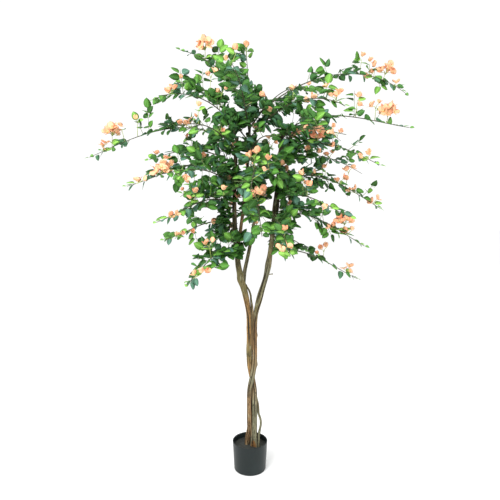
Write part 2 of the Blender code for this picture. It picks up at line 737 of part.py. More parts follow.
def main():
    clear_scene()
    tree = bpy.data.collections.new("potted_bougainvillea_tree")
    bpy.context.scene.collection.children.link(tree)
    bark = make_material("bark", BARK)
    vine_bark = make_material("vine_bark", VINE_BARK)
    build_pot(make_material("pot_plastic", POT_BLACK), tree)
    build_filler(make_material("filler", FILLER_GREY), tree)
    build_stem("stem_left", 1, LEFT_RADII, LEFT_TOP, bark, tree)
    build_stem("stem_right", -1, RIGHT_RADII, RIGHT_TOP, bark, tree)
    build_thin_stem(vine_bark, tree)
    build_vine(vine_bark, tree)
    for name in BOUGHS:
        build_bough(name, bark, tree)
    build_nub(bark, tree)
    build_sprays(make_material("leaves", LEAF_GREEN), tree)


main()
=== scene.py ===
"""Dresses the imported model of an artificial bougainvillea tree.

The tree stands in a small black plastic pot: two natural wood stems wind round each other, part, and
fork into boughs, and arching sprays with green leaves and peach bracts grow from the boughs.
Metres, +Z up. The origin is the centre of the pot's flat underside, and the front faces -Y.
"""

import math

import bpy
import numpy as np
from bpy.props import FloatProperty, FloatVectorProperty, IntProperty, PointerProperty
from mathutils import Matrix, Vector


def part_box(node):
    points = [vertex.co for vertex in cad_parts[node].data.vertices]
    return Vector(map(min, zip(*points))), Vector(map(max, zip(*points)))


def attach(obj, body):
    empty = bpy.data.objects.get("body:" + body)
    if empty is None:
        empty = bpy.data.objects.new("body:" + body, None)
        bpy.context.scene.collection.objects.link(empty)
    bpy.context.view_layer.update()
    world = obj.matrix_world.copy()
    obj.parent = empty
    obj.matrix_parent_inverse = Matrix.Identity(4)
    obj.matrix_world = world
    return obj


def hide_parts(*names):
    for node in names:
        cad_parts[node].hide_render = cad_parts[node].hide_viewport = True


bl_info = {
    "name": "Potted Bougainvillea Tree",
    "version": (1, 0, 0),
    "blender": (4, 5, 0),
    "location": "3D View > Sidebar > Tree",
    "description": "Bark, leaves, bracts, pot and stage of an artificial bougainvillea tree",
    "category": "Object",
}

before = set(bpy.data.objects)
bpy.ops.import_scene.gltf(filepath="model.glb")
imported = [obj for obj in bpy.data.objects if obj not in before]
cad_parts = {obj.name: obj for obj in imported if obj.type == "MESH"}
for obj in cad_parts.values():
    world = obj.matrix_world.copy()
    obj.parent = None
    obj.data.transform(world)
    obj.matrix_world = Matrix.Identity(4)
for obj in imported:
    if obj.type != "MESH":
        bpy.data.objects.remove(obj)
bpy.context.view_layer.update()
BODY = "root"
UP = np.array((0.0, 0.0, 1.0))
NEARLY_UP = np.array((0.02, 0.01, 1.0))  # no spray or stalk lies along this
DEPTHWISE = np.array((0.0, 1.0, 0.0))  # no stem or bough lies along this
GOLDEN_ANGLE = math.radians(137.5)

POT_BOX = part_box("pot")
FILLER_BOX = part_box("pot_filler")
POT_HEIGHT = POT_BOX[1].z
POT_RIM_RADIUS = 0.5 * (POT_BOX[1].x - POT_BOX[0].x)
FILLER_TOP = FILLER_BOX[1].z

# The pair of stems: heights and angles as in the solids
PAIR_X = 0.0095
FOOT_ANGLE = -50.0
UNWIND = (0.13, 0.28)
CROSSING = (0.33, 0.59)
PARTING = 0.772
PARTING_EASE = 0.030
LEFT_LEAN = -0.19
RIGHT_LEAN = 0.25
LEFT_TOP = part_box("stem_left")[1].z
RIGHT_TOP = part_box("stem_right")[1].z
LEFT_RADII = ((FILLER_TOP, 0.0168), (0.145, 0.0150), (0.20, 0.0138), (0.45, 0.0132), (0.62, 0.0130),
              (0.80, 0.0128), (0.93, 0.0160), (LEFT_TOP, 0.0172))
RIGHT_RADII = ((FILLER_TOP, 0.0145), (0.15, 0.0135), (0.20, 0.0122), (0.60, 0.0122), (0.80, 0.0112),
               (RIGHT_TOP, 0.0125))

# The thin stem beside them and the vine in the fork
THIN_RADIUS = 0.0056
THIN_TOP = 0.46
THIN_FOOT = (0.0430, -0.016)
THIN_LOOP = (0.195, 0.275)
THIN_LOOP_REACH = 0.010
THIN_BEHIND = (-0.030, 0.028)
THIN_EASE = 0.030  # the loop's bends begin this far before it
THIN_SHIFT = 0.010
VINE_RADIUS = 0.0046
VINE_FOOT = 0.600
VINE_TOP = 0.915
VINE_BEND = 0.720
VINE_FRONT = -0.012
VINE_TURN = (0.810, 0.865)  # between these heights it goes from the front to the side
VINE_ARC = ((0.782, 0.0115), (0.815, 0.0085), (0.839, 0.0052), (0.864, 0.0036), (0.888, -0.0036),
            (0.902, -0.0125), (0.915, -0.0230))  # heights and places of its arc, open towards the left stem
VINE_TAPER = (0.06, 0.025)  # it thickens over this length at its foot and thins over this length at its top
VINE_SWELLING = (0.800, 0.032)  # height and length of its thickest stretch
VINE_EASE = 0.010  # its sharp bends are rounded over this length

# Boughs as cubic curves: start, two handles, end, then the radius at the start and at the end
BOUGHS = {
    "bough_outer_left": ((-0.0485, 0.0, 0.975), (-0.064, 0.0, 1.07), (-0.088, -0.03, 1.22),
                         (-0.060, -0.03, 1.60), 0.0138, 0.0085),
    "bough_inner_left": ((-0.0268, 0.0, 0.975), (-0.008, 0.010, 1.06), (0.030, 0.040, 1.20),
                         (0.050, 0.060, 1.52), 0.0092, 0.0060),
    "bough_right": ((0.0830, 0.0, 1.0), (0.105, -0.015, 1.10), (0.130, -0.010, 1.36),
                    (0.150, 0.010, 1.64), 0.0122, 0.0098),
    "bough_leader": ((-0.0500, -0.0040, 1.135), (-0.040, 0.012, 1.22), (-0.008, 0.020, 1.40),
                     (0.000, 0.015, 1.71), 0.0085, 0.0062),
}

# Wood
STEM_POINTS = 160
BOUGH_POINTS = 120
THIN_POINTS = 90
BOUGH_JOIN = 0.08  # the share of a bough's curve that the stem below it takes up
SINK = 0.012  # how far a stem's foot goes down into the filling
FORK_OVERLAP = 0.050  # how far a bough runs down inside the wood that carries it
INNER_BOUGH_SHIFT = 0.004  # the inner left bough's foot lies this far to the right of its stem's axis
LEADER_FOOT = 1.075  # height where the leader's foot lies inside the outer bough
PATH_EASE = 0.030  # sharp bends are rounded over this length
KNEE = (0.150, 0.186)  # between these heights the right stem's foot bends out
KNEE_REACH = 0.0125
KINKS = {1: ((0.960, 0.060, -0.0050),), -1: ((0.950, 0.070, 0.0065), (0.820, 0.070, 0.0032))}
RIGHT_SWELLING = (0.845, 0.050, 0.0036)  # the right limb is thicker just above the fork
CUT_AZIMUTH = -112.0  # the slanting cut at the left stem's foot faces this way
CUT_TOP = 0.195
CUT_SLOPE = 0.17  # how far the cut leans outwards for each metre up
CUT_PLACE = 0.45  # distance of the cut's foot from the axis, as a share of the radius
CUT_EDGE = 0.0012  # the wood is bare where more than this is cut away
FULL_BARK = 0.012  # a stem of this radius or more has the full relief and number of sides
FEWEST_SIDES = 12
SEAM = (0.0006, 0.0040)  # painted shade darkens the groove between the stems within this distance
THIN_RELIEF = 0.9  # relief of the thin stem and the vine, as a share of the usual
# Swellings and knots: height, azimuth in degrees, reach, length along the stem and width in radians round it
LEFT_KNOBS = ((0.594, 185.0, 0.0022, 0.030, 0.9), (0.594, -80.0, 0.0022, 0.012, 0.5),
              (0.655, -110.0, 0.0016, 0.016, 0.6), (0.940, 180.0, 0.0060, 0.022, 0.9),
              (0.150, -40.0, 0.0030, 0.030, 1.2), (0.700, 200.0, 0.0012, 0.02, 0.8))
RIGHT_KNOBS = ((0.525, 5.0, 0.0042, 0.011, 0.6), (0.667, -5.0, 0.0034, 0.010, 0.6),
               (0.450, 0.0, 0.0015, 0.020, 1.0), (0.186, -170.0, 0.0030, 0.012, 0.9),
               (1.013, 180.0, 0.0034, 0.030, 1.3), (1.000, 0.0, 0.0030, 0.035, 1.3),
               (1.280, 0.0, 0.0055, 0.060, 1.4), (1.280, 180.0, 0.0040, 0.060, 1.4))
THIN_KNOBS = ((0.182, 0.0, 0.0022, 0.008, 1.4), (0.30, 90.0, 0.0012, 0.010, 1.0))
# The nub twig: it springs from inside the right limb and forks into two short tips
NUB_START = (-0.006, 0.004)  # its start from the low corner of its box, across and up
NUB_END = (-0.004, -0.002)  # its end from the high corner
NUB_RADII = (0.0035, 0.0019)
NUB_FORK = 0.72  # share of its length where the tips begin
NUB_TIP_RISES = (0.004, -0.002)
NUB_TIP_RADII = (0.0018, 0.0014, 0.0009)
# Colours of each bark by height over the floor: the names are those of the wood's settings
# crown_shade is painted shade: darker bark where the crown and the fork shade it
TALLEST = 2.0  # height at the top of the colour bands
BARK_BANDS = {
    "bark_left": ((0.00, "grey"), (0.34, "grey"), (0.42, "brown"), (0.50, "golden"), (0.58, "olive"),
                  (0.68, "golden"), (0.82, "golden"), (0.88, "olive"), (0.96, "olive"), (1.08, "crown_shade")),
    "bark_right": ((0.00, "brown"), (0.22, "brown"), (0.34, "brown"), (0.45, "grey"), (0.60, "brown"),
                   (0.70, "brown"), (0.80, "olive"), (0.98, "grey"), (1.06, "olive"), (1.25, "crown_shade")),
    "bark_bough": ((0.00, "olive"), (1.00, "grey"), (1.10, "olive"), (1.22, "brown"), (1.32, "crown_shade")),
    "bark_vine": ((0.00, "grey"), (0.40, "grey"), (0.55, "brown"), (0.80, "crown_shade"), (0.95, "olive")),
}

# Pot and filling
POT_FLOOR = 0.003
POT_CENTRE = 0.010  # inside this radius the pot's floor is one flat disc
RIM_DROP = 0.002  # the outside's first ring lies this far under the rim's rounding
FILLER_GAP = 0.0003
FILLER_FOOT = 0.0035
FILLER_CENTRE = 0.002
RING_DEPTH = (0.0011, 0.0009)  # the ring's ridge, and the groove round it
RING_WIDTH = (0.0022, 0.0025)
RING_STEP = 0.005  # from the ridge out to the groove
ROUGHNESS_HEIGHT = 0.00035
MOUND = (0.0022, 0.030)  # height and width of the low mound round the stems

# The sprays of each bough: name, height on the bough, azimuth, reach, height of the tip, rise at the start
# and fall at the end, all as in the solids
SPRAYS_OF = {
    "bough_leader": (
        ("top", 1.695, 110, 0.06, 2.04, 84, -75),
        ("top_left", 1.665, 186, 0.315, 1.99, 78, -10),
        ("top_right", 1.680, 9, 0.77, 1.84, 46, 34),
        ("top_back", 1.640, 98, 0.50, 1.93, 55, -5),
        ("top_front", 1.620, 262, 0.46, 1.80, 42, 4),
        ("top_corner", 1.650, 50, 0.55, 1.93, 48, 2),
        ("upper_left", 1.590, 150, 0.45, 1.91, 48, 6),
        ("front_right_high", 1.600, 318, 0.50, 1.68, 42, 30),
        ("inner_front", 1.520, 288, 0.36, 1.56, 34, 10),
        ("inner_back", 1.500, 70, 0.40, 1.60, 38, 8),
    ),
    "bough_outer_left": (
        ("left_high", 1.590, 211, 0.39, 1.72, 80, 36),
        ("left_long", 1.570, 173, 0.71, 1.52, 34, 22),
        ("left_front_high", 1.530, 243, 0.45, 1.58, 34, 16),
        ("left_back_high", 1.540, 125, 0.50, 1.70, 38, 12),
        ("left_back_long", 1.480, 156, 0.48, 1.52, 32, 14),
        ("left_middle", 1.430, 211, 0.50, 1.365, 34, 16),
        ("left_front", 1.370, 240, 0.50, 1.40, 28, 12),
        ("left_back", 1.350, 130, 0.48, 1.34, 30, 20),
        ("left_low", 1.290, 226, 0.43, 1.22, 26, 16),
        ("left_side", 1.240, 168, 0.27, 1.27, 34, 8),
        ("left_low_front", 1.190, 208, 0.34, 1.14, 32, 12),
        ("left_low_back", 1.130, 118, 0.42, 1.05, 26, 24),
        ("hanging_left", 1.075, 247, 0.46, 0.985, 20, 18),
    ),
    "bough_inner_left": (
        ("centre_back", 1.480, 95, 0.60, 1.50, 34, 18),
        ("centre_front", 1.400, 266, 0.58, 1.33, 28, 24),
        ("centre_side", 1.340, 245, 0.34, 1.33, 34, 14),
        ("centre_low", 1.270, 272, 0.50, 1.17, 20, 18),
        ("centre_back_low", 1.230, 88, 0.52, 1.15, 28, 24),
    ),
    "bough_right": (
        ("right_high", 1.625, 345, 0.56, 1.625, 36, 12),
        ("right_back_high", 1.600, 52, 0.60, 1.66, 38, 16),
        ("right_front_high", 1.560, 293, 0.52, 1.54, 30, 14),
        ("right_long", 1.520, 323, 0.48, 1.45, 32, 28),
        ("right_back_long", 1.470, 32, 0.54, 1.46, 32, 20),
        ("right_middle", 1.400, 6, 0.50, 1.275, 26, 30),
        ("right_back", 1.350, 62, 0.48, 1.32, 28, 20),
        ("right_front", 1.300, 305, 0.46, 1.24, 26, 20),
        ("right_side", 1.250, 342, 0.41, 1.11, 10, 30),
        ("right_inner", 1.440, 258, 0.36, 1.42, 34, 14),
        ("right_low_front", 1.190, 275, 0.46, 1.10, 22, 18),
        ("right_low_back", 1.140, 48, 0.42, 1.00, 4, 22),
        ("right_lowest", 1.080, 8, 0.43, 0.935, 6, 26),
    ),
}
SPRAYS = [(name, bough, *shape) for bough, rows in SPRAYS_OF.items() for name, *shape in rows]
SPRAY_NAMES = [f"spray_{spray[0]}" for spray in SPRAYS]
HANDLE_START = 0.40
HANDLE_END = 0.36

# Where each spray's own blooms are seen: points across and down the camera's frame, and the number of
# flower heads. A spray without an entry gets the usual blooms.
BLOOMS = {
    "top_left": ((205, 44, 8), (226, 58, 1)),
    "top_right": ((362, 54, 1), (370, 59, 1), (375, 64, 1), (370, 73, 2), (386, 69, 6), (396, 82, 1)),
    "top_front": ((237, 46, 1), (260, 93, 1)),
    "top_corner": ((309, 83, 1),),
    "upper_left": ((181, 76, 1),),
    "front_right_high": ((253, 125, 1), (271, 109, 1), (293, 87, 1), (336, 94, 3), (327, 84, 1),
                         (308, 98, 2)),
    "left_high": ((211, 72, 2), (170, 90, 2), (222, 89, 2)),
    "left_long": ((112, 130, 9), (121, 124, 1), (137, 116, 1), (103, 144, 3), (181, 124, 1), (188, 122, 2)),
    "left_front_high": ((198, 103, 1), (221, 129, 1), (233, 144, 1)),
    "left_back_long": ((187, 135, 1), (156, 152, 1)),
    "left_middle": ((162, 168, 8), (172, 163, 1), (167, 156, 1), (140, 179, 2), (203, 155, 1)),
    "left_front": ((230, 177, 1), (184, 175, 1)),
    "left_low": ((236, 195, 1), (195, 190, 1), (190, 196, 1), (172, 214, 2)),
    "left_side": ((231, 203, 1),),
    "left_low_front": ((178, 233, 2), (192, 229, 1), (212, 221, 1)),
    "left_low_back": ((231, 225, 1),),
    "hanging_left": ((209, 242, 2), (198, 273, 2), (205, 269, 1)),
    "centre_front": ((254, 153, 2), (264, 168, 1)),
    "centre_side": ((223, 187, 1),),
    "centre_low": ((259, 192, 5),),
    "inner_front": (),
    "right_high": ((358, 94, 1), (358, 103, 1), (376, 103, 2), (388, 110, 8)),
    "right_front_high": ((292, 135, 1), (298, 131, 1), (333, 130, 1), (304, 127, 1)),
    "right_long": ((318, 133, 8), (334, 144, 1), (368, 155, 2)),
    "right_back_long": ((307, 147, 1), (330, 153, 2), (318, 152, 1)),
    "right_middle": ((288, 168, 1), (326, 165, 1), (316, 170, 1), (349, 168, 2), (340, 180, 2),
                     (353, 189, 2), (374, 199, 2)),
    "right_front": ((303, 172, 1), (308, 182, 1), (327, 205, 1)),
    "right_side": ((290, 202, 1), (345, 219, 7), (349, 230, 2), (333, 225, 2)),
    "right_inner": ((268, 157, 1), (282, 162, 1)),
    "right_low_front": ((286, 227, 1), (284, 247, 3)),
    "right_lowest": ((324, 247, 2), (347, 268, 3)),
}

# Side twigs that stand clear of the crown: on each spray, the share along its stem, the length in
# metres and the lean from the vertical towards +X in degrees
STANDING_TWIGS = {
    "top": ((0.42, 0.060, 60), (0.30, 0.065, 62), (0.55, 0.050, 70), (0.72, 0.040, -50), (0.85, 0.030, -40)),
    "top_left": ((0.52, 0.070, 25), (0.63, 0.080, 15), (0.40, 0.060, 50), (0.58, 0.060, 60),
                 (0.45, 0.050, -100)),
    "top_front": ((0.80, 0.060, -60), (0.65, 0.060, -80)),
    "left_long": ((0.58, 0.110, -3), (0.62, 0.070, -25), (0.40, 0.060, -40)),
    "left_high": ((0.70, 0.105, -8), (0.51, 0.130, 0), (0.60, 0.050, 10), (0.35, 0.050, -20)),
    "left_front_high": ((0.62, 0.085, -8),),
    "left_front": ((0.80, 0.045, 190), (0.70, 0.050, 190), (0.60, 0.050, 185), (0.50, 0.055, 180),
                   (0.40, 0.055, 175)),
    "left_low": ((0.50, 0.055, -25), (0.40, 0.050, 0)),
    "top_right": ((0.38, 0.100, -4), (0.59, 0.085, 28), (0.50, 0.050, -30), (0.80, 0.050, 160),
                  (0.88, 0.045, 170), (0.76, 0.050, 175), (0.20, 0.080, 5)),
    "right_high": ((0.59, 0.115, 0), (0.50, 0.030, 20)),
    "right_long": ((0.70, 0.070, 55),),
    "right_middle": ((0.80, 0.085, 47), (0.60, 0.060, -10), (0.40, 0.060, 0), (0.50, 0.060, 20),
                     (0.55, 0.050, 180), (0.45, 0.050, 170), (0.25, 0.040, 180), (0.35, 0.045, 175),
                     (0.65, 0.045, 180), (0.75, 0.040, 180)),
    "right_inner": ((0.90, 0.050, 120), (0.80, 0.060, 150), (0.50, 0.060, 60)),
    "right_side": ((0.30, 0.085, 10), (0.52, 0.085, -10), (0.62, 0.075, 35), (0.40, 0.060, 150),
                   (0.55, 0.055, 160)),
    "hanging_left": ((0.55, 0.060, 110), (0.70, 0.060, 100), (0.85, 0.050, 115), (0.03, 0.060, 65),
                     (0.03, 0.070, 30)),
    "left_back_long": ((0.50, 0.055, 10), (0.40, 0.060, 0)),
    "front_right_high": ((0.45, 0.070, 10), (0.80, 0.060, 20), (0.70, 0.050, 170)),
    "right_lowest": ((0.35, 0.060, 60), (0.50, 0.055, 150)),
    "right_low_front": ((0.85, 0.060, 140), (0.70, 0.060, -160)),
    "left_side": ((0.80, 0.060, 170), (0.60, 0.060, 20)),
    "left_low_front": ((0.45, 0.070, 10), (0.60, 0.060, 170), (0.50, 0.045, 180)),
    "centre_low": ((0.50, 0.070, 150), (0.70, 0.060, -150)),
    "centre_front": ((0.80, 0.070, -100), (0.90, 0.060, 160)),
}

# Sprays with more or fewer leaves than the others, as a factor
LEAFINESS = {
    "hanging_left": 1.45, "left_side": 1.35, "left_low": 1.3, "left_low_front": 1.35, "left_low_back": 1.2,
    "front_right_high": 1.2, "centre_low": 1.6, "centre_side": 1.3, "right_lowest": 0.85,
    "right_low_front": 1.3, "left_long": 1.05, "left_high": 1.35, "top_left": 1.2, "right_high": 0.85,
}

# Openings that the crown keeps: the middle, across and down the camera's frame, then the half width and
# the half height, all in points of that frame
OPENINGS = (
    (350, 54, 4, 2.5), (261, 59, 8.5, 17), (340, 62, 4, 4), (190, 63, 14, 6), (301, 63, 10, 10),
    (249, 67, 3.5, 3.5), (331, 70, 3, 2), (260, 74, 6, 9), (290, 78, 7, 4), (305, 80, 7, 4.5),
    (219, 81, 5, 1.5), (169, 83, 4, 3), (357, 84, 4, 5), (273, 85, 10, 13), (211, 86, 6, 3),
    (241, 88, 1.5, 3.5), (368, 88, 7, 7), (282, 91, 5, 5), (383, 92, 2.5, 2), (392, 94, 2.5, 4),
    (229, 95, 2.5, 3), (190, 101, 10, 2.5), (232, 101, 4, 1.5), (207, 104, 6, 3), (250, 106, 2.5, 3.5),
    (177, 107, 18, 8), (217, 109, 5, 3), (239, 109, 5, 1.5), (336, 110, 9, 3.5), (373, 111, 4, 3),
    (262, 112, 2, 3), (357, 118, 5, 1.5), (293, 119, 8, 6), (256, 120, 3, 2), (344, 123, 8, 5),
    (207, 125, 12, 3.5), (226, 127, 2.5, 2), (362, 128, 24, 5), (247, 131, 4, 2), (353, 133, 4, 3),
    (240, 134, 2.5, 2.5), (347, 136, 8, 11), (200, 137, 4, 5), (261, 137, 3, 7), (222, 139, 4, 2),
    (154, 142, 25, 7), (276, 153, 4, 2), (212, 154, 4, 3), (229, 157, 5, 3.5), (297, 167, 4, 5),
    (338, 168, 9, 5), (208, 172, 11, 3.5), (358, 175, 7, 9), (198, 178, 3, 4), (376, 179, 4, 3),
    (160, 188, 11, 8), (326, 196, 20, 4.5), (304, 199, 2.5, 2), (208, 200, 12, 2), (168, 202, 17, 9),
    (348, 203, 10, 4), (365, 203, 4, 2), (267, 205, 5, 4.5), (207, 213, 12, 4), (266, 220, 9, 2.5),
    (176, 226, 11, 4), (247, 226, 3, 4), (202, 229, 4, 5), (301, 236, 9, 8), (261, 243, 7, 8),
    (318, 243, 11, 4.5), (226, 244, 6, 3), (329, 254, 3, 3), (301, 257, 7, 6), (276, 259, 1.5, 2.5),
    (345, 261, 5, 3), (184, 262, 9, 9), (229.5, 262, 2.5, 2), (184, 268, 6, 8), (324, 269, 5, 4),
    (186, 277, 2, 2.5), (211, 281, 4, 2),
)
OPENING_RIM = (1.5, 1.2)  # what an opening gains at its sides and at its top and foot, in points

# The camera's frame is 500 points wide and high; down is counted from its top
VIEWPOINT = np.array((0.0, -2.14, 1.267))
VIEW_TILT = math.radians(5.0)
FRAME_MIDDLE = 250.0
FRAME_FOCUS = 453.0  # how far the frame stands from the viewpoint, in points

# Growth
CROWN_LINE = np.array((0.02, 0.0, 0.0))  # the middle line of the crown, seen from above
STEM_STEPS = 25  # points along a spray's stem
TWIG_STEPS = 6
LIMB_IN_SIGHT = (1.215, 1.235, 1.255, 1.275, 1.295, 1.315)  # heights where no leaf hides the right limb
LIMB_CLEARANCE = 0.020
BLOOM_PLACES = np.arange(0.06, 1.0, 0.03)  # shares along a stem where a bloom's stalk can spring
BLOOM_FORWARD = 0.15  # how far a bloom leans to the front, as a share of its stalk's upright length
BLOOM_MIDDLE = 0.008  # a bloom's middle is seen this far above the end of its stalk,
CLUSTER_MIDDLE = 0.33  # and by this share of its cluster's radius further up
BLOOM_CLEARANCE = (0.013, 0.0085)  # leaves keep off by the first, and the second times the root of its heads
SHORTEST_STALK = 0.012
USUAL_STALK = 0.017  # a placed bloom's stalk costs 1 for each of these lengths,
USUAL_LEAN = 25.0  # 1 for each of these angles from upright,
NEAR_FOOT = (0.30, 1.5)  # and this much more on the first share of its spray's stem
USUAL_BLOOMS = ((0.93, 0.020), (0.60, 0.85), 0.040)  # the tip's place and stalk, the other's places and stalk
CLUSTER_BASE = 0.65  # a cluster's radius in steps: this much, and the next times the root of its heads
CLUSTER_GROWTH = 0.40
FOOT_TWIGS = (265.0, 85.0)  # azimuths of the two twigs at each spray's foot that hide the bough
FOOT_TWIG_PLACES = (0.04, 0.16)
FOOT_TWIG_TURNS = (-25.0, 25.0)
FOOT_TWIG_RISES = (-10.0, 50.0)
FOOT_TWIG_LENGTHS = (0.7, 1.2)  # these lengths are shares of the usual one
SIDE_TWIG_RISES = (-30.0, 70.0)
SIDE_TWIG_LENGTHS = (0.6, 1.1)
LAST_SIDE_TWIG = 0.80
LONG_SIDE_TWIG = 0.050  # a longer one has one more pair of leaves
LONG_STANDING_TWIG = 0.09
STEM_LEAF_SIZES = (0.85, 1.15)  # leaf sizes are shares of the usual one
TWIG_LEAF_SIZES = (0.75, 1.0)
END_LEAF_SIZES = (0.8, 1.05)
BLOOM_LEAF_SIZES = (0.65, 0.90)
TIP_LEAF_SIZE = 0.45
TIP_SHRINK = 0.38  # how much smaller a stem's leaves get towards its tip
HEAD_SIZES = (0.85, 1.12)  # shares of the usual bract
INNER_SHARE = 0.42  # the share of a stem where it is dense
LEAFY_SHARE = 0.90  # leaves stand on this share of a stem
FIRST_LEAF = 0.05
CROWDING = 0.62  # how evenly leaves are dealt out: 1 for evenly, less for dense at the foot
FRONT_PAINTED_LIGHT = 0.08  # painted light: added to the draws of leaves on sprays at the front, which brings lighter kinds
# painted shade: added to the draws of leaves on sprays at the back, which brings darker kinds
BACK_PAINTED_SHADE = -0.06
HANGING = (0.35, 0.12)  # share of the leaves that hang, on a stem's inner and outer stretch
# the blue-green kind is green leaves with a painted blue-grey sheen
TEAL_SHARE = 0.26
LEAF_STALK = 0.008
TWIG_LEAF_STALK = 0.007
END_LEAF_STALK = 0.003
BLOOM_LEAF_STALK = 0.005
TIP_LEAF_STALK = 0.004
# A leaf's draw under each limit gives the kind; draws rise from a stem's foot to its tip
LEAF_LIMITS = ((0.43, "old"), (0.50, "teal"), (0.92, "full"), (1.21, "bright"), (math.inf, "young"))

# Leaves and bracts
LEAF_ROWS = np.array((0.0, 0.13, 0.34, 0.58, 0.80, 1.0))  # places along the rib
LEAF_COLUMNS = np.array((-1.0, -0.06, 0.06, 1.0))  # places across: edge, both sides of the rib, edge
LEAF_RUFFLE = 0.03
BRACT_ROWS = np.array((0.0, 0.14, 0.36, 0.62, 0.84, 1.0))
BRACT_COLUMNS = np.array((-1.0, -0.4, 0.4, 1.0))
BRACT_RUFFLE = 0.08
BRACT_THICKNESS = 0.0005
SALMON_FROM = 0.62  # heads drawn above this are salmon, the others peach
LEAF_KINDS = ("old", "full", "bright", "young", "teal")
FLORET_RUN = (0.0, 0.16, 0.30, 0.36)  # places along a floret's tube and its radii there, as shares of a bract
FLORET_RADII = (0.030, 0.036, 0.030, 0.085)
FLORET_LEAN = 0.35

# Lamps: side, place, and what they point at
KEY_LAMP = (2.0, (-1.6, -2.6, 3.2), (0.0, 0.0, 1.4))
FILL_LAMP = (1.5, (2.6, -1.6, 1.8), (0.0, 0.0, 1.2))


# ---- Settings ----

def length(name, description, default):
    return FloatProperty(name=name, description=description, default=default, min=0.0, unit="LENGTH",
                         precision=4)


def measure(name, description, default):
    return FloatProperty(name=name, description=description, default=default)


def colour(name, description, default):
    return FloatVectorProperty(name=name, description=description, default=default, size=3, min=0.0, max=1.0,
                               subtype="COLOR")


class PotSettings(bpy.types.PropertyGroup):
    rim_radius: length("Rim radius", "Outer radius at the rim", POT_RIM_RADIUS)
    foot_radius: length("Foot radius", "Outer radius of the straight side carried down to the ground", 0.0773)
    height: length("Height", "From the underside to the rim", POT_HEIGHT)
    wall: length("Wall", "Thickness of the wall", 0.0025)
    rounding: length("Foot rounding", "Radius of the edge at the foot", 0.0035)
    filler_top: length("Filler height", "Height of the filling in the pot", FILLER_TOP)
    ring_radius: length("Ring radius", "Radius of the ring pressed in the filling", 0.060)
    plastic: colour("Plastic", "Colour of the pot", (0.009, 0.014, 0.014))
    filling: colour("Filling", "Colour of the filling", (0.018, 0.020, 0.017))


class WoodSettings(bpy.types.PropertyGroup):
    relief: length("Relief", "Depth of the bark's fibres", 0.0013)
    sides: IntProperty(name="Sides", description="Points round a stem", default=48, min=8)
    step: length("Step", "Distance between two rings of points", 0.0035)
    # dark colours the bark's own dark patches, fibres and specks, and the painted shade in its grooves
    dark: colour("Grooves", "Colour deep in the bark", (0.020, 0.014, 0.008))
    brown: colour("Brown", "Smooth brown bark", (0.235, 0.140, 0.062))
    golden: colour("Golden brown", "Bare golden stretches above the crossing", (0.330, 0.190, 0.068))
    light: colour("Fibres", "Colour of the raised fibres", (0.330, 0.240, 0.130))
    olive: colour("Olive", "Greenish bark of the limbs", (0.160, 0.135, 0.055))
    grey: colour("Grey", "Grey-green bark near the foot", (0.170, 0.165, 0.100))
    # painted shade: darker bark where the crown and the fork shade it
    crown_shade: colour("Dark olive", "Bark inside the crown", (0.060, 0.052, 0.024))
    lichen: colour("Lichen", "Pale patches on the bark", (0.330, 0.320, 0.210))
    cut: colour("Cut wood", "Colour of the bare wood", (0.260, 0.125, 0.040))
    seed: IntProperty(name="Seed", description="Picks the bark's pattern", default=5)


class TwigSettings(bpy.types.PropertyGroup):
    stem_radius: length("Stem radius", "Radius of a spray's stem at its foot", 0.0034)
    tip_radius: length("Tip radius", "Radius of a spray's stem at its tip", 0.0012)
    twig_radius: length("Twig radius", "Radius of a side twig", 0.0011)
    stalk_radius: length("Stalk radius", "Radius of a leaf stalk", 0.0006)
    bloom_radius: length("Bloom stalk radius", "Radius of the stalk of a bloom", 0.0014)
    spacing: length("Leaf spacing", "Usual distance between two leaves on a stem", 0.0168)
    twig_length: length("Twig length", "Usual length of a side twig", 0.075)
    wood: colour("Stem", "Colour of the sprays' stems", (0.060, 0.062, 0.030))
    green: colour("Twig", "Colour of the side twigs and stalks", (0.150, 0.190, 0.080))
    bloom: colour("Bloom stalk", "Colour of the stalks of the blooms", (0.330, 0.400, 0.120))
    seed: IntProperty(name="Seed", description="Picks how the sprays branch", default=41)


class LeafSettings(bpy.types.PropertyGroup):
    size: length("Length", "Usual length of a full-grown leaf", 0.049)
    width: measure("Width", "Width as a share of the length", 0.74)
    thickness: length("Thickness", "Thickness of the leaf at its rib", 0.0007)
    fold: measure("Fold", "How far the halves rise from the rib, as a share of the width", 0.28)
    droop: measure("Droop", "How far the tip sinks, as a share of the length", 0.18)
    old: colour("Old leaf", "Darkest green", (0.028, 0.098, 0.014))
    full: colour("Full-grown leaf", "Deep green", (0.076, 0.225, 0.032))
    bright: colour("Bright leaf", "Middle green", (0.152, 0.358, 0.056))
    young: colour("Young leaf", "Yellow-green near the blooms and tips", (0.250, 0.525, 0.092))
    # painted sheen: green leaves with a blue-grey sheen painted into their colour
    teal: colour("Blue-green leaf", "Blue-green on the stems", (0.086, 0.200, 0.132))
    under: colour("Underside", "Colour of the leaves' undersides", (0.085, 0.235, 0.080))


class BlossomSettings(bpy.types.PropertyGroup):
    bract: length("Bract length", "Length of a bract in a cluster", 0.0345)
    small: measure("Single", "Length of a bract away from the clusters, as a share of one in a cluster", 0.80)
    width: measure("Bract width", "Width as a share of the length", 0.92)
    opening: FloatProperty(name="Opening", description="Angle of a bract above the level of its head",
                           default=math.radians(52.0), subtype="ANGLE")
    spread: length("Cluster step", "Distance between the heads of one cluster", 0.0140)
    peach: colour("Peach", "Colour of most bracts", (0.960, 0.520, 0.310))
    salmon: colour("Salmon", "Colour of the deeper bracts", (0.930, 0.430, 0.245))
    cream: colour("Cream", "Colour of the bracts' hearts", (0.900, 0.660, 0.380))
    floret: colour("Floret", "Colour of the small tube in each head", (0.700, 0.720, 0.320))


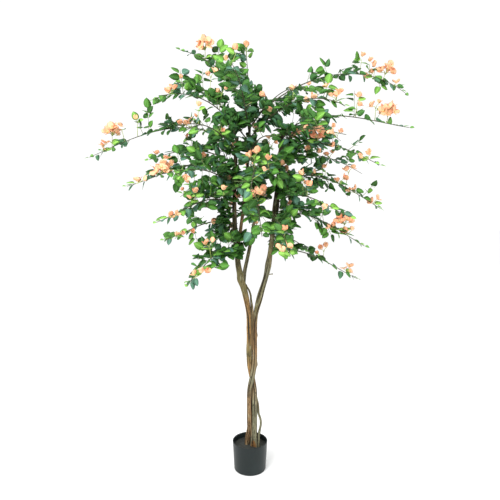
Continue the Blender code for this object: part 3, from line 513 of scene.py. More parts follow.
class StageSettings(bpy.types.PropertyGroup):
    floor: colour("Floor", "Colour of the floor", (0.96, 0.96, 0.96))
    floor_size: length("Floor size", "Side of the floor", 60.0)
    daylight: measure("Surround", "Strength of the light from all round", 1.06)
    key: measure("Key light", "Power of the large lamp in front, in watts", 140.0)
    fill: measure("Fill light", "Power of the lamp on the right, in watts", 25.0)
    camera_distance: length("Camera distance", "From the tree to the camera", -VIEWPOINT[1])
    camera_height: length("Camera height", "Height of the camera", VIEWPOINT[2])
    camera_pitch: FloatProperty(name="Camera pitch", description="How far the camera looks down",
                                default=VIEW_TILT, subtype="ANGLE")
    lens: FloatProperty(name="Lens", description="Focal length in millimetres", default=32.6)


class TreeSettings(bpy.types.PropertyGroup):
    pot: PointerProperty(type=PotSettings)
    wood: PointerProperty(type=WoodSettings)
    twigs: PointerProperty(type=TwigSettings)
    leaves: PointerProperty(type=LeafSettings)
    blossom: PointerProperty(type=BlossomSettings)
    stage: PointerProperty(type=StageSettings)


# ---- Surfaces ----

def normalised(vectors):
    return vectors / np.maximum(np.linalg.norm(vectors, axis=-1, keepdims=True), 1e-12)


def dot(a, b):
    return (a * b).sum(-1, keepdims=True)


def smooth(low, high, values):
    """Eases from 0 at low to 1 at high: 3t^2 - 2t^3."""
    t = np.clip((np.asarray(values, float) - low) / (high - low), 0.0, 1.0)
    return t * t * (3.0 - 2.0 * t)


def bump(values, centre, width):
    """A bell: exp(-((value - centre) / width)^2)."""
    return np.exp(-((values - centre) / width) ** 2)


def between(table, values):
    """Straight-line reading of a table of (place, value) rows."""
    places, readings = zip(*table)
    return np.interp(values, places, readings)


def bezier(points, t):
    """Cubic curve: s^3 a + 3 s^2 t b + 3 s t^2 c + t^3 d, with s = 1 - t."""
    a, b, c, d = (np.asarray(p, float) for p in points)
    t = np.asarray(t, float)[..., None]
    s = 1.0 - t
    return s ** 3 * a + 3 * s * s * t * b + 3 * s * t * t * c + t ** 3 * d


def point_on(points, place):
    """The point of a cubic curve at one share along it."""
    return bezier(points, np.array((place,)))[0]


def spun(angles, first, second):
    """From one axis towards another at right angles to it: cos(angle) first + sin(angle) second."""
    return np.cos(angles)[..., None] * first + np.sin(angles)[..., None] * second


def across_path(paths, reference=NEARLY_UP):
    """Tangents of each path of an array (..., points, 3), and two axes across it, the first at right angles
    to the reference too."""
    tangents = normalised(np.gradient(paths, axis=-2))
    level = normalised(np.cross(tangents, reference))
    return tangents, level, np.cross(level, tangents)


def grid_faces(rows, columns, wrap=False):
    """Quads of a grid of points, row by row, with the last column joined to the first if wrap is set."""
    row, column = np.meshgrid(np.arange(rows - 1), np.arange(columns if wrap else columns - 1), indexing="ij")
    following = (column + 1) % columns
    a = row * columns + column
    b = row * columns + following
    return np.stack((a, b, b + columns, a + columns), -1).reshape(-1, 4)


def closed_tube_faces(rings, sides):
    """Faces of rings of points in order, with a fan at each end round one of the two points that follow."""
    around = np.arange(sides)
    following = (around + 1) % sides
    hub = rings * sides
    last = hub - sides
    first_fan = np.stack((np.full(sides, hub), following, around), -1)
    last_fan = np.stack((np.full(sides, hub + 1), last + around, last + following), -1)
    return [grid_faces(rings, sides, wrap=True), first_fan, last_fan]


def repeated(faces, copies, stride):
    """The same faces for each of many copies, whose points follow each other."""
    return (faces[None] + (np.arange(copies) * stride)[:, None, None]).reshape(-1, faces.shape[1])


def joined(parts):
    """One list of points and faces from several (points, [faces, ...]) parts."""
    points, faces, offset = [], [], 0
    for part_points, part_faces in parts:
        part_points = np.asarray(part_points, float).reshape(-1, 3)
        points.append(part_points)
        faces.extend(block + offset for block in part_faces)
        offset += len(part_points)
    return np.concatenate(points), faces


def tubes(paths, radii, sides):
    """Many tubes with flat ends: paths (tubes, points, 3), radii (tubes, points).
    A point at angle a on ring i lies at path_i + radius_i (cos a level_i + sin a upper_i)."""
    count, rings, _ = paths.shape
    _, level, upper = across_path(paths)
    angles = np.arange(sides) * math.tau / sides
    points = paths[:, :, None] + radii[:, :, None, None] * spun(angles, level[:, :, None], upper[:, :, None])
    side_faces = grid_faces(rings, sides, wrap=True)
    first = np.arange(sides)[None]
    last = (np.arange(sides)[::-1] + (rings - 1) * sides)[None]
    stride = rings * sides
    faces = [repeated(side_faces[:, ::-1], count, stride), repeated(first, count, stride),
             repeated(last, count, stride)]
    return points.reshape(-1, 3), faces


def make_piece(name, points, faces, materials, slots=None, attributes=()):
    """A mesh object from arrays. faces is a list of (count, corners) arrays, and slots, if given, holds the
    material number of each face. attributes holds (name, type, field, values) rows for its points."""
    mesh = bpy.data.meshes.new(name)
    points = np.ascontiguousarray(points, np.float32).reshape(-1, 3)
    corners = np.concatenate([block.ravel() for block in faces]).astype(np.int32)
    sizes = np.concatenate([np.full(len(block), block.shape[1]) for block in faces])
    starts = np.concatenate(((0,), np.cumsum(sizes)[:-1])).astype(np.int32)
    mesh.vertices.add(len(points))
    mesh.vertices.foreach_set("co", points.ravel())
    mesh.loops.add(len(corners))
    mesh.loops.foreach_set("vertex_index", corners)
    mesh.polygons.add(len(sizes))
    mesh.polygons.foreach_set("loop_start", starts)
    mesh.update(calc_edges=True)
    mesh.polygons.foreach_set("use_smooth", np.full(len(sizes), True))
    for material in materials:
        mesh.materials.append(material)
    if slots is not None:
        mesh.polygons.foreach_set("material_index", np.ascontiguousarray(slots, np.int32))
    for label, kind, field, values in attributes:
        layer = mesh.attributes.new(label, kind, "POINT")
        layer.data.foreach_set(field, np.ascontiguousarray(values, np.float32).ravel())
    mesh.validate()
    piece = bpy.data.objects.new(name, mesh)
    bpy.context.scene.collection.objects.link(piece)
    return piece


def finish_piece(piece, nodes):
    """Lets a piece ride on the tree's one body and stand for its nodes."""
    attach(piece, BODY)
    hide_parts(*nodes)


def add_foliage(name, points, faces, materials, slots=None):
    """A piece that stands for the sprays' solids."""
    finish_piece(make_piece(name, points, faces, materials, slots), SPRAY_NAMES)


# ---- Materials ----

def node_group(name, inputs, outputs):
    """A new shader node group: inputs are (name, type, default) rows, outputs (name, type) rows."""
    group = bpy.data.node_groups.new(name, "ShaderNodeTree")
    for label, kind, default in inputs:
        socket = group.interface.new_socket(label, in_out="INPUT", socket_type=kind)
        if default is not None:
            socket.default_value = default
    for label, kind in outputs:
        group.interface.new_socket(label, in_out="OUTPUT", socket_type=kind)
    source = group.nodes.new("NodeGroupInput")
    sink = group.nodes.new("NodeGroupOutput")
    return group, source, sink


def add_node(tree, kind, inputs=(), **properties):
    """A new shader node. Each input is set to a plain value, or linked to the output that is given for it."""
    node = tree.nodes.new(kind)
    for name, value in properties.items():
        setattr(node, name, value)
    for name, value in dict(inputs).items():
        if isinstance(value, bpy.types.NodeSocket):
            tree.links.new(value, node.inputs[name])
        else:
            node.inputs[name].default_value = value
    return node


def add_noise(tree, place, scale, detail, roughness):
    """Noise whose scale is one number for each direction."""
    stretched = add_node(tree, "ShaderNodeMapping", {"Vector": place, "Scale": scale})
    noise = add_node(tree, "ShaderNodeTexNoise", {"Vector": stretched.outputs["Vector"], "Scale": 1.0,
                                                  "Detail": detail, "Roughness": roughness})
    return noise.outputs["Fac"]


def eased(tree, value, low, high):
    """0 at low, 1 at high, smooth between them, whichever of the two is greater."""
    ranged = add_node(tree, "ShaderNodeMapRange", {"Value": value, "From Min": low, "From Max": high},
                      interpolation_type="SMOOTHSTEP")
    return ranged.outputs["Result"]


def mixed(tree, factor, first, second):
    """A colour between two, each an output or a plain colour."""
    mix = add_node(tree, "ShaderNodeMix", {"Factor": factor, "A": first, "B": second}, data_type="RGBA")
    return mix.outputs["Result"]


def combined(tree, operation, first, second):
    """Maths on two values, each an output or a number."""
    return add_node(tree, "ShaderNodeMath", {0: first, 1: second}, operation=operation).outputs["Value"]


def bark_group():
    """Long fibres, pale and dark patches, specks, and painted shade in the grooves along a stem.

    Place holds a point of the stem as if it were straight, so that the fibres follow its bends.
    Groove is painted shade: 0 in the deepest groove and beside the other stem, 1 on the highest ridge."""
    if "Bark fibres" in bpy.data.node_groups:
        return bpy.data.node_groups["Bark fibres"]
    group, source, sink = node_group(
        "Bark fibres",
        (("Place", "NodeSocketVector", None),
         ("Groove", "NodeSocketFloat", 1.0),
         ("Main", "NodeSocketColor", (0.2, 0.1, 0.05, 1.0)),
         ("Dark", "NodeSocketColor", (0.0, 0.0, 0.0, 1.0)),
         ("Light", "NodeSocketColor", (0.4, 0.3, 0.2, 1.0)),
         ("Patch", "NodeSocketColor", (0.3, 0.3, 0.2, 1.0))),
        (("Color", "NodeSocketColor"), ("Roughness", "NodeSocketFloat"), ("Height", "NodeSocketFloat")))
    place, groove, main, dark, light, patch = list(source.outputs)[:6]
    fibres = add_noise(group, place, (300.0, 300.0, 18.0), 5.0, 0.62)
    strands = add_noise(group, place, (120.0, 120.0, 7.0), 4.0, 0.60)
    blotches = add_noise(group, place, (48.0, 48.0, 17.0), 5.0, 0.66)
    specks = add_noise(group, place, (210.0, 210.0, 80.0), 2.0, 0.50)
    tint = main
    # Each layer: where its noise passes from low to high, how much of it shows there, and its colour
    layers = ((blotches, 0.54, 0.68, 0.65, patch), (strands, 0.53, 0.66, 0.80, light),
              (blotches, 0.46, 0.34, 0.55, dark), (fibres, 0.48, 0.36, 0.80, dark),
              (specks, 0.60, 0.68, 0.85, dark), (groove, 0.42, 0.10, 1.00, dark))
    # the last layer, on Groove, darkens the bark as painted shade
    for noise, low, high, strength, layer in layers:
        amount = combined(group, "MULTIPLY", eased(group, noise, low, high), strength)
        tint = mixed(group, amount, tint, layer)
    group.links.new(tint, sink.inputs["Color"])
    rough = combined(group, "SUBTRACT", 0.98, combined(group, "MULTIPLY", strands, 0.30))
    group.links.new(rough, sink.inputs["Roughness"])
    height = combined(group, "ADD", fibres, combined(group, "MULTIPLY", strands, 1.5))
    group.links.new(height, sink.inputs["Height"])
    return group


def speckle_group():
    """Fine grain and soft clouds for plastic, filling and floor, on Object coordinates."""
    if "Fine speckle" in bpy.data.node_groups:
        return bpy.data.node_groups["Fine speckle"]
    group, source, sink = node_group(
        "Fine speckle",
        (("Place", "NodeSocketVector", None), ("Grain scale", "NodeSocketFloat", 900.0),
         ("Cloud scale", "NodeSocketFloat", 18.0), ("Base", "NodeSocketColor", (0.1, 0.1, 0.1, 1.0)),
         ("Tint", "NodeSocketColor", (0.2, 0.2, 0.2, 1.0))),
        (("Color", "NodeSocketColor"), ("Roughness mask", "NodeSocketFloat"), ("Height", "NodeSocketFloat")))
    place, grain_scale, cloud_scale, base, second = list(source.outputs)[:5]
    grain = add_node(group, "ShaderNodeTexNoise", {"Vector": place, "Scale": grain_scale})
    clouds = add_node(group, "ShaderNodeTexNoise", {"Vector": place, "Scale": cloud_scale, "Detail": 3.0})
    tinted = mixed(group, eased(group, clouds.outputs["Fac"], 0.40, 0.75), base, second)
    group.links.new(tinted, sink.inputs["Color"])
    group.links.new(clouds.outputs["Fac"], sink.inputs["Roughness mask"])
    group.links.new(grain.outputs["Fac"], sink.inputs["Height"])
    return group


def new_material(name, specular=0.5):
    material = bpy.data.materials.new(name)
    material.use_nodes = True
    shader = material.node_tree.nodes["Principled BSDF"]
    shader.inputs["Specular IOR Level"].default_value = specular
    return material, material.node_tree, shader


def blend(first, second):
    """The colour half way between two."""
    return tuple(0.5 * (a + b) for a, b in zip(first, second))


def brighter(tint, factor, offset=0.0):
    """A colour made brighter, or darker with a factor under 1."""
    return tuple(min(1.0, factor * channel + offset) for channel in tint)


def plain_material(name, tint, roughness, specular=0.5):
    """One base colour and one roughness all over."""
    material, _, shader = new_material(name, specular)
    shader.inputs["Base Color"].default_value = (*tint, 1.0)
    shader.inputs["Roughness"].default_value = roughness
    return material


def add_bump(tree, shader, height, strength, distance):
    bumped = add_node(tree, "ShaderNodeBump", {"Height": height, "Strength": strength, "Distance": distance})
    tree.links.new(bumped.outputs["Normal"], shader.inputs["Normal"])


def height_bands(tree, bands):
    """A colour by height over the floor: bands are (height in metres, colour) rows, eased into each other."""
    coordinates = tree.nodes.new("ShaderNodeTexCoord")
    split = add_node(tree, "ShaderNodeSeparateXYZ", {"Vector": coordinates.outputs["Object"]})
    share_up = combined(tree, "MULTIPLY", split.outputs["Z"], 1.0 / TALLEST)
    ramp = add_node(tree, "ShaderNodeValToRGB", {"Fac": share_up})
    stops = ramp.color_ramp.elements
    while len(stops) < len(bands):
        stops.new(1.0)
    for stop, (height, tint) in zip(stops, bands):
        stop.position = height / TALLEST
        stop.color = (*tint, 1.0)
    return ramp.outputs["Color"]


def bark_material(name, wood):
    """Bark in the bands that BARK_BANDS gives it, painted shade in its grooves, and bare wood where bare is 1.
    """
    material, tree, shader = new_material(name, 0.25)
    # groove carries painted shade: low in the bark's grooves and beside the other stem
    place, groove, bare = (add_node(tree, "ShaderNodeAttribute", attribute_name=label).outputs
                           for label in ("stem_place", "groove", "bare"))
    bands = height_bands(tree, [(height, getattr(wood, tint)) for height, tint in BARK_BANDS[name]])
    fibres = add_node(tree, "ShaderNodeGroup", node_tree=bark_group())
    inputs = {"Place": place["Vector"], "Groove": groove["Fac"],
              "Main": mixed(tree, bare["Fac"], bands, (*wood.cut, 1.0))}
    for label, output in inputs.items():
        tree.links.new(output, fibres.inputs[label])
    for label, tint in (("Dark", wood.dark), ("Light", wood.light), ("Patch", wood.lichen)):
        fibres.inputs[label].default_value = (*tint, 1.0)
    tree.links.new(fibres.outputs["Color"], shader.inputs["Base Color"])
    tree.links.new(fibres.outputs["Roughness"], shader.inputs["Roughness"])
    add_bump(tree, shader, fibres.outputs["Height"], 0.9, 0.0016)
    return material


def speckled_material(name, tint, second, roughness, grain, clouds, strength, distance, specular=0.5):
    """Fine-grained plastic, filling or floor: roughness is its lowest and highest value."""
    material, tree, shader = new_material(name, specular)
    coordinates = tree.nodes.new("ShaderNodeTexCoord")
    speckle = add_node(tree, "ShaderNodeGroup", node_tree=speckle_group())
    for label, value in (("Grain scale", grain), ("Cloud scale", clouds), ("Base", (*tint, 1.0)),
                         ("Tint", (*second, 1.0))):
        speckle.inputs[label].default_value = value
    tree.links.new(coordinates.outputs["Object"], speckle.inputs["Place"])
    tree.links.new(speckle.outputs["Color"], shader.inputs["Base Color"])
    ranged = add_node(tree, "ShaderNodeMapRange", {"Value": speckle.outputs["Roughness mask"],
                                                   "To Min": roughness[0], "To Max": roughness[1]})
    tree.links.new(ranged.outputs["Result"], shader.inputs["Roughness"])
    add_bump(tree, shader, speckle.outputs["Height"], strength, distance)
    return material


# ---- Wood ----

def pair_axis(heights, side):
    """Axis of one of the two stems: they wind round a common line, then lean apart."""
    reach = 0.5 * (between(LEFT_RADII, heights) + between(RIGHT_RADII, heights))
    angle = math.radians(FOOT_ANGLE) * (1.0 - smooth(*UNWIND, heights)) + math.pi * smooth(*CROSSING, heights)
    above = heights - PARTING
    rise = 0.5 * (above + np.hypot(above, PARTING_EASE))
    lean = LEFT_LEAN if side > 0 else RIGHT_LEAN
    x = PAIR_X + side * reach * np.cos(angle) + lean * rise
    return np.stack((x, side * reach * np.sin(angle), heights), -1)


def bough_curve(name, t):
    """Axis points and radii of a bough at shares of its curve."""
    *points, thick, slim = BOUGHS[name]
    return bezier(points, t), thick + (slim - thick) * np.asarray(t, float)


def bough_at(name, height):
    """Axis point and radius of a bough at a height."""
    points, radii = bough_curve(name, np.linspace(0.0, 1.0, 41))
    place = [np.interp(height, points[:, 2], points[:, k]) for k in range(2)]
    return np.array((*place, height)), float(np.interp(height, points[:, 2], radii))


def distances_along(path):
    """How far along a path each of its points lies."""
    return np.concatenate(((0.0,), np.cumsum(np.linalg.norm(np.diff(path, axis=0), axis=1))))


def half_turns(angles):
    """The same angles, brought between half a turn back and half a turn on."""
    return (angles + math.pi) % math.tau - math.pi


def evenly(path, radii, step, ease=0.0):
    """The same path with points a step apart, and its sharp bends averaged away over the ease length."""
    run = distances_along(path)
    places = np.linspace(0.0, run[-1], max(3, round(run[-1] / step) + 1))
    columns = np.column_stack((path, radii))
    even = np.stack([np.interp(places, run, column) for column in columns.T], -1)
    width = int(ease / step)
    if width > 1:
        window = np.hanning(2 * width + 3)[1:-1]
        before = 2 * even[:1] - even[width:0:-1]
        after = 2 * even[-1:] - even[-2:-width - 2:-1]
        padded = np.concatenate((before, even, after))
        even = np.stack([np.convolve(column, window / window.sum(), "valid") for column in padded.T], -1)
    return even[:, :3], np.maximum(even[:, 3], 0.0005)


def fibre_relief(angles, run, rng):
    """Height of the bark, from -1 to 1: waves round the stem that drift slowly along it, and a few long
    crevices exp(-(turn / width)^2) that wander from side to side and come and go."""
    relief = np.zeros((len(run), len(angles)))
    for _ in range(9):
        waves = rng.integers(2, 13)
        drift = rng.uniform(-9.0, 9.0)
        phase = rng.uniform(0.0, math.tau)
        slow = 1.0 + 0.8 * np.sin(run * rng.uniform(18.0, 60.0) + rng.uniform(0.0, math.tau))
        wave = np.sin(waves * angles[None] + drift * run[:, None] + phase)
        relief += wave * slow[:, None] / math.sqrt(waves)
    relief *= 0.75 / np.abs(relief).max()
    for _ in range(5):
        middle = rng.uniform(0.0, math.tau)
        centre = middle + 0.5 * np.sin(run * rng.uniform(5.0, 16.0) + rng.uniform(0.0, math.tau))
        turn = half_turns(angles[None] - centre[:, None])
        strength = np.clip(np.sin(run * rng.uniform(7.0, 20.0) + rng.uniform(0.0, math.tau)) + 0.5, 0.0, 1.0)
        relief -= 1.1 * bump(turn, 0.0, 0.16) * strength[:, None]
    return np.clip(relief, -1.0, 1.0)


def bark_attributes(place, groove, bare):
    """What the bark's material reads at each point, as bark_group and bark_material say."""
    return (("stem_place", "FLOAT_VECTOR", "vector", place), ("groove", "FLOAT", "value", groove),
            ("bare", "FLOAT", "value", bare))


def wooden_surface(name, path, radii, wood, seed, material, relief=1.0, knobs=(), seam=None, cut=None):
    """A stem with bark: ring i has radius r_i + knobs + relief, at angle a round the path.

    A knob is (height, azimuth, reach, length, width): reach exp(-(run/length)^2 - (turn/width)^2).
    seam is a function that gives each point's distance from the stem beside it; near that stem the bark is
    darkened as painted shade. cut moves points that lie beyond a plane back on to it, and says which."""
    rng = np.random.default_rng(seed)
    sides = max(FEWEST_SIDES, round(wood.sides * min(1.0, radii.max() / FULL_BARK)))
    angles = np.arange(sides) * math.tau / sides
    _, level, upper = across_path(path, DEPTHWISE)
    run = distances_along(path)
    bark = fibre_relief(angles, run, rng)
    depth = wood.relief * relief * np.minimum(1.0, radii / FULL_BARK)
    spread = radii[:, None] + depth[:, None] * bark
    spokes = spun(angles, level[:, None], upper[:, None])
    azimuths = np.arctan2(spokes[..., 1], spokes[..., 0])
    for height, azimuth, reach, tall, wide in knobs:
        turn = half_turns(azimuths - math.radians(azimuth))
        spread = spread + reach * bump(path[:, 2], height, tall)[:, None] * bump(turn, 0.0, wide)
    points = path[:, None] + spread[..., None] * spokes
    # painted shade: lower where the relief sinks into a groove, read as Groove by the bark's colour
    shade = 0.5 + 0.5 * bark
    # painted shade in the crevice where the other stem lies close
    if seam is not None:
        shade = shade * smooth(*SEAM, seam(points))
    bare = np.zeros_like(shade)
    if cut is not None:
        points, bare = cut(points)
    points = np.concatenate((points.reshape(-1, 3), path[[0, -1]]))
    faces = [block[:, ::-1] for block in closed_tube_faces(len(path), sides)]
    along = np.repeat(run[:, None], sides, 1)
    straight = np.stack((spread * np.cos(angles), spread * np.sin(angles), along), -1)
    straight_ends = np.array(((0.0, 0.0, run[0]), (0.0, 0.0, run[-1])))
    place = np.concatenate((straight.reshape(-1, 3), straight_ends)) + seed
    attributes = bark_attributes(place, np.append(shade.ravel(), (0.5, 0.5)),
                                 np.append(bare.ravel(), (0.0, 0.0)))
    return make_piece(name, points, faces, [material], attributes=attributes)


def beside(side):
    """Distance of points from the surface of the other stem of the pair, while the two run together."""
    table = RIGHT_RADII if side > 0 else LEFT_RADII

    def distance(points):
        axis = pair_axis(points[..., 2], -side)
        return np.linalg.norm(points[..., :2] - axis[..., :2], axis=-1) - between(table, points[..., 2])

    return distance


def slanting_cut(points):
    """The left stem's foot, cut to a slanting face that leans outwards towards its top, and how bare it is."""
    facing = direction(CUT_AZIMUTH, 0.0)
    foot = pair_axis(np.array((FILLER_TOP,)), 1)[0]
    plane = CUT_PLACE * LEFT_RADII[0][1] + CUT_SLOPE * (points[..., 2] - FILLER_TOP)
    beyond = (points - foot) @ facing - plane
    beyond = np.where(points[..., 2] < CUT_TOP, np.maximum(beyond, 0.0), 0.0)
    return points - beyond[..., None] * facing, smooth(0.0, CUT_EDGE, beyond)


def kink(heights, side):
    """How far a limb bends out to its side above the fork."""
    return sum(reach * bump(heights, height, width) for height, width, reach in KINKS[side])


def stem_with_bough(side, top, bough, wood):
    """One path from the filling up a stem and on along the bough that carries it further."""
    heights = np.linspace(FILLER_TOP - SINK, top - FORK_OVERLAP, STEM_POINTS)
    table = LEFT_RADII if side > 0 else RIGHT_RADII
    lower = pair_axis(heights, side)
    if side < 0:
        lower[:, 0] -= KNEE_REACH * (1.0 - smooth(*KNEE, heights))
    upper, slim = bough_curve(bough, np.linspace(BOUGH_JOIN, 1.0, BOUGH_POINTS))
    path = np.concatenate((lower, upper))
    path[:, 0] += kink(path[:, 2], side)
    radii = np.concatenate((between(table, heights), slim))
    if side < 0:
        height, width, swelling = RIGHT_SWELLING
        radii += swelling * bump(path[:, 2], height, width)
    return evenly(path, radii, wood.step, PATH_EASE)


def forked_bough(bough, carrier_point, wood):
    """A bough whose foot runs on down into the wood that carries it."""
    path, radii = bough_curve(bough, np.linspace(0.0, 1.0, BOUGH_POINTS))
    path = np.concatenate((np.asarray(carrier_point, float)[None], path[2:]))
    radii = np.concatenate((radii[:1], radii[2:]))
    return evenly(path, radii, wood.step, PATH_EASE)


def pushed_clear(points, radius, sink=0.0):
    """Moves points of a thin stem level, out of the pair of stems, until it lies against them."""
    points = points.copy()
    for _ in range(4):
        for side, table in ((1, LEFT_RADII), (-1, RIGHT_RADII)):
            away = points[:, :2] - pair_axis(points[:, 2], side)[:, :2]
            distance = np.linalg.norm(away, axis=1, keepdims=True)
            short = np.maximum(between(table, points[:, 2])[:, None] + radius - sink - distance, 0.0)
            points[:, :2] += away / distance * short
    return points


def thin_stem(wood):
    """Path and radii of the thin stem: up the pair's right side, out in a low loop, then round behind."""
    heights = np.linspace(FILLER_TOP - SINK, THIN_TOP, THIN_POINTS)
    low, high = THIN_LOOP
    middle = 0.5 * (low + high)
    out = smooth(low - THIN_EASE, middle - THIN_SHIFT, heights)
    back = smooth(middle, high + THIN_SHIFT, heights)
    behind = smooth(high - THIN_EASE, THIN_TOP, heights)
    x = THIN_FOOT[0] + THIN_LOOP_REACH * (out * (1.0 - back)) + THIN_BEHIND[0] * behind
    y = THIN_FOOT[1] * (1.0 - smooth(FILLER_TOP, low, heights)) + THIN_BEHIND[1] * behind
    path = pushed_clear(np.stack((x, y, heights), -1), THIN_RADIUS)
    return evenly(path, np.full(len(path), THIN_RADIUS), wood.step)


def fork_vine(wood):
    """Path and radii of the vine: up the groove in front of the pair, then in an arc across the fork to the
    left stem's side."""
    heights = np.linspace(VINE_FOOT, VINE_TOP, THIN_POINTS)
    middle = 0.5 * (pair_axis(heights, 1) + pair_axis(heights, -1))[:, 0]
    x = middle + (between(VINE_ARC, heights) - middle) * smooth(VINE_BEND, VINE_ARC[0][0], heights)
    y = VINE_FRONT * (1.0 - smooth(*VINE_TURN, heights))
    path = pushed_clear(np.stack((x, y, heights), -1), VINE_RADIUS, 0.5 * VINE_RADIUS)
    path[:, 0] += kink(heights, 1)
    radii = VINE_RADIUS * (0.75 + 0.25 * smooth(VINE_FOOT, VINE_FOOT + VINE_TAPER[0], path[:, 2])
                           + 0.50 * bump(path[:, 2], *VINE_SWELLING)
                           - 0.60 * smooth(VINE_TOP - VINE_TAPER[1], VINE_TOP, path[:, 2]))
    return evenly(path, radii, wood.step, VINE_EASE)


def add_bark(name, stem, number, material, wood, slot, nodes, **form):
    """Puts bark on a stem, given as its path and radii. The number picks a pattern of its own."""
    path, radii = stem
    piece = wooden_surface(name, path, radii, wood, wood.seed + number, material, **form)
    finish_piece(piece, nodes)


def add_nub(material):
    """The short cut twig on the right limb, with its two tips."""
    low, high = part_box("nub_twig")
    start = np.array((low.x + NUB_START[0], 0.5 * (low.y + high.y), low.z + NUB_START[1]))
    end = np.array((high.x + NUB_END[0], start[1], high.z + NUB_END[1]))
    fork = start + NUB_FORK * (end - start)
    handles = (start, start + (0.010, 0.0, -0.001), end - (0.010, 0.0, 0.0), end)
    parts = [tubes(bezier(handles, np.linspace(0.0, 1.0, 10))[None], np.linspace(*NUB_RADII, 10)[None], 10)]
    for rise in NUB_TIP_RISES:
        tip = np.stack((fork, fork + (0.004, -0.001, 0.4 * rise), fork + (0.009, -0.001, rise)))
        parts.append(tubes(tip[None], np.array((NUB_TIP_RADII,)), 8))
    points, faces = joined(parts)
    attributes = bark_attributes(points[:, (1, 2, 0)], np.full(len(points), 0.6), np.zeros(len(points)))
    piece = make_piece("bark_nub", points, faces, [material], attributes=attributes)
    finish_piece(piece, ("nub_twig",))


# ---- Growth of the sprays ----

def direction(azimuth, rise):
    """Unit vector at an azimuth and a rise, both in degrees."""
    a, r = math.radians(azimuth), math.radians(rise)
    return np.array((math.cos(a) * math.cos(r), math.sin(a) * math.cos(r), math.sin(r)))


def stem_handles(spray):
    """The four points of a spray's arching stem, from inside its bough to its tip."""
    _, bough, height, azimuth, reach, tip_height, rise, fall = spray
    axis, radius = bough_at(bough, height)
    outward = direction(azimuth, 0.0)
    start = axis + outward * radius * 0.5
    end = axis + outward * reach
    end[2] = tip_height
    span = np.linalg.norm(end - start)
    first = start + direction(azimuth, rise) * span * HANDLE_START
    second = end - direction(azimuth, -fall) * span * HANDLE_END
    return start, first, second, end


def from_centre(spot):
    """Level direction from the tree's middle line to a spot."""
    away = (spot - CROWN_LINE) * np.array((1.0, 1.0, 0.0))
    return away / max(0.05, np.linalg.norm(away))


def on_front_plane(spot):
    """Where the line from the viewpoint through a spot crosses the plane y = 0."""
    return (spot - VIEWPOINT) * (-VIEWPOINT[1] / (spot[1] - VIEWPOINT[1])) + VIEWPOINT


def seen_at(across, down):
    """Place on the plane y = 0 of a point of the camera's frame, and the metres one point takes up there."""
    rise = (FRAME_MIDDLE - down) / FRAME_FOCUS
    scale = -VIEWPOINT[1] / (FRAME_FOCUS * (math.cos(VIEW_TILT) + rise * math.sin(VIEW_TILT)))
    height = scale * FRAME_FOCUS * (rise * math.cos(VIEW_TILT) - math.sin(VIEW_TILT))
    return np.array(((across - FRAME_MIDDLE) * scale, 0.0, VIEWPOINT[2] + height)), scale


def opening_ellipse(across, down, wide, high):
    """An opening's middle and half axes on the plane y = 0, in metres."""
    middle, scale = seen_at(across, down)
    return middle[0], middle[2], (wide + OPENING_RIM[0]) * scale, (high + OPENING_RIM[1]) * scale


OPENING_ELLIPSES = [opening_ellipse(*opening) for opening in OPENINGS]


def seen_through(spot):
    """Whether a spot lies in one of the crown's openings, on the line from the viewpoint through it."""
    near = on_front_plane(spot)
    return any(((near[0] - x) / wide) ** 2 + ((near[2] - z) / high) ** 2 < 1.0
               for x, z, wide, high in OPENING_ELLIPSES)


def placed_bloom(blossom, handles, across, down, heads):
    """Stem point, stalk length and lean of a bloom whose middle is seen at a point of the camera's frame.

    At each place along the stem the stalk that reaches the line of sight is worked out, and the place where
    it costs least is chosen: short, upright and away from the stem's foot."""
    seen, _ = seen_at(across, down)
    rise = BLOOM_MIDDLE + CLUSTER_MIDDLE * cluster_spread(blossom, heads)
    best = None
    for place in BLOOM_PLACES:
        stem_point = point_on(handles, place)
        reach = 0.0
        for _ in range(4):
            depth = stem_point[1] - BLOOM_FORWARD * reach
            spot = VIEWPOINT + (seen - VIEWPOINT) * (1.0 - depth / VIEWPOINT[1])
            offset = spot - UP * rise - stem_point
            reach = math.hypot(offset[0], offset[2])
        tall = max(SHORTEST_STALK, reach * math.hypot(1.0, BLOOM_FORWARD))
        lean = math.degrees(math.atan2(offset[0], offset[2]))
        cost = tall / USUAL_STALK + abs(lean) / USUAL_LEAN + NEAR_FOOT[1] * (place < NEAR_FOOT[0])
        if best is None or cost < best[0]:
            best = (cost, stem_point, tall, lean, heads)
    return best[1:]


def cluster_spread(blossom, heads):
    """Radius of a cluster of flower heads."""
    return blossom.spread * (CLUSTER_BASE + CLUSTER_GROWTH * math.sqrt(heads))


def upright(lean, forward=0.0):
    """A heading that leans from upright: lean degrees to the right, and forward to the front."""
    return np.array((math.sin(math.radians(lean)), -forward, math.cos(math.radians(lean))))


def bloom_heading(lean):
    return normalised(upright(lean, BLOOM_FORWARD))


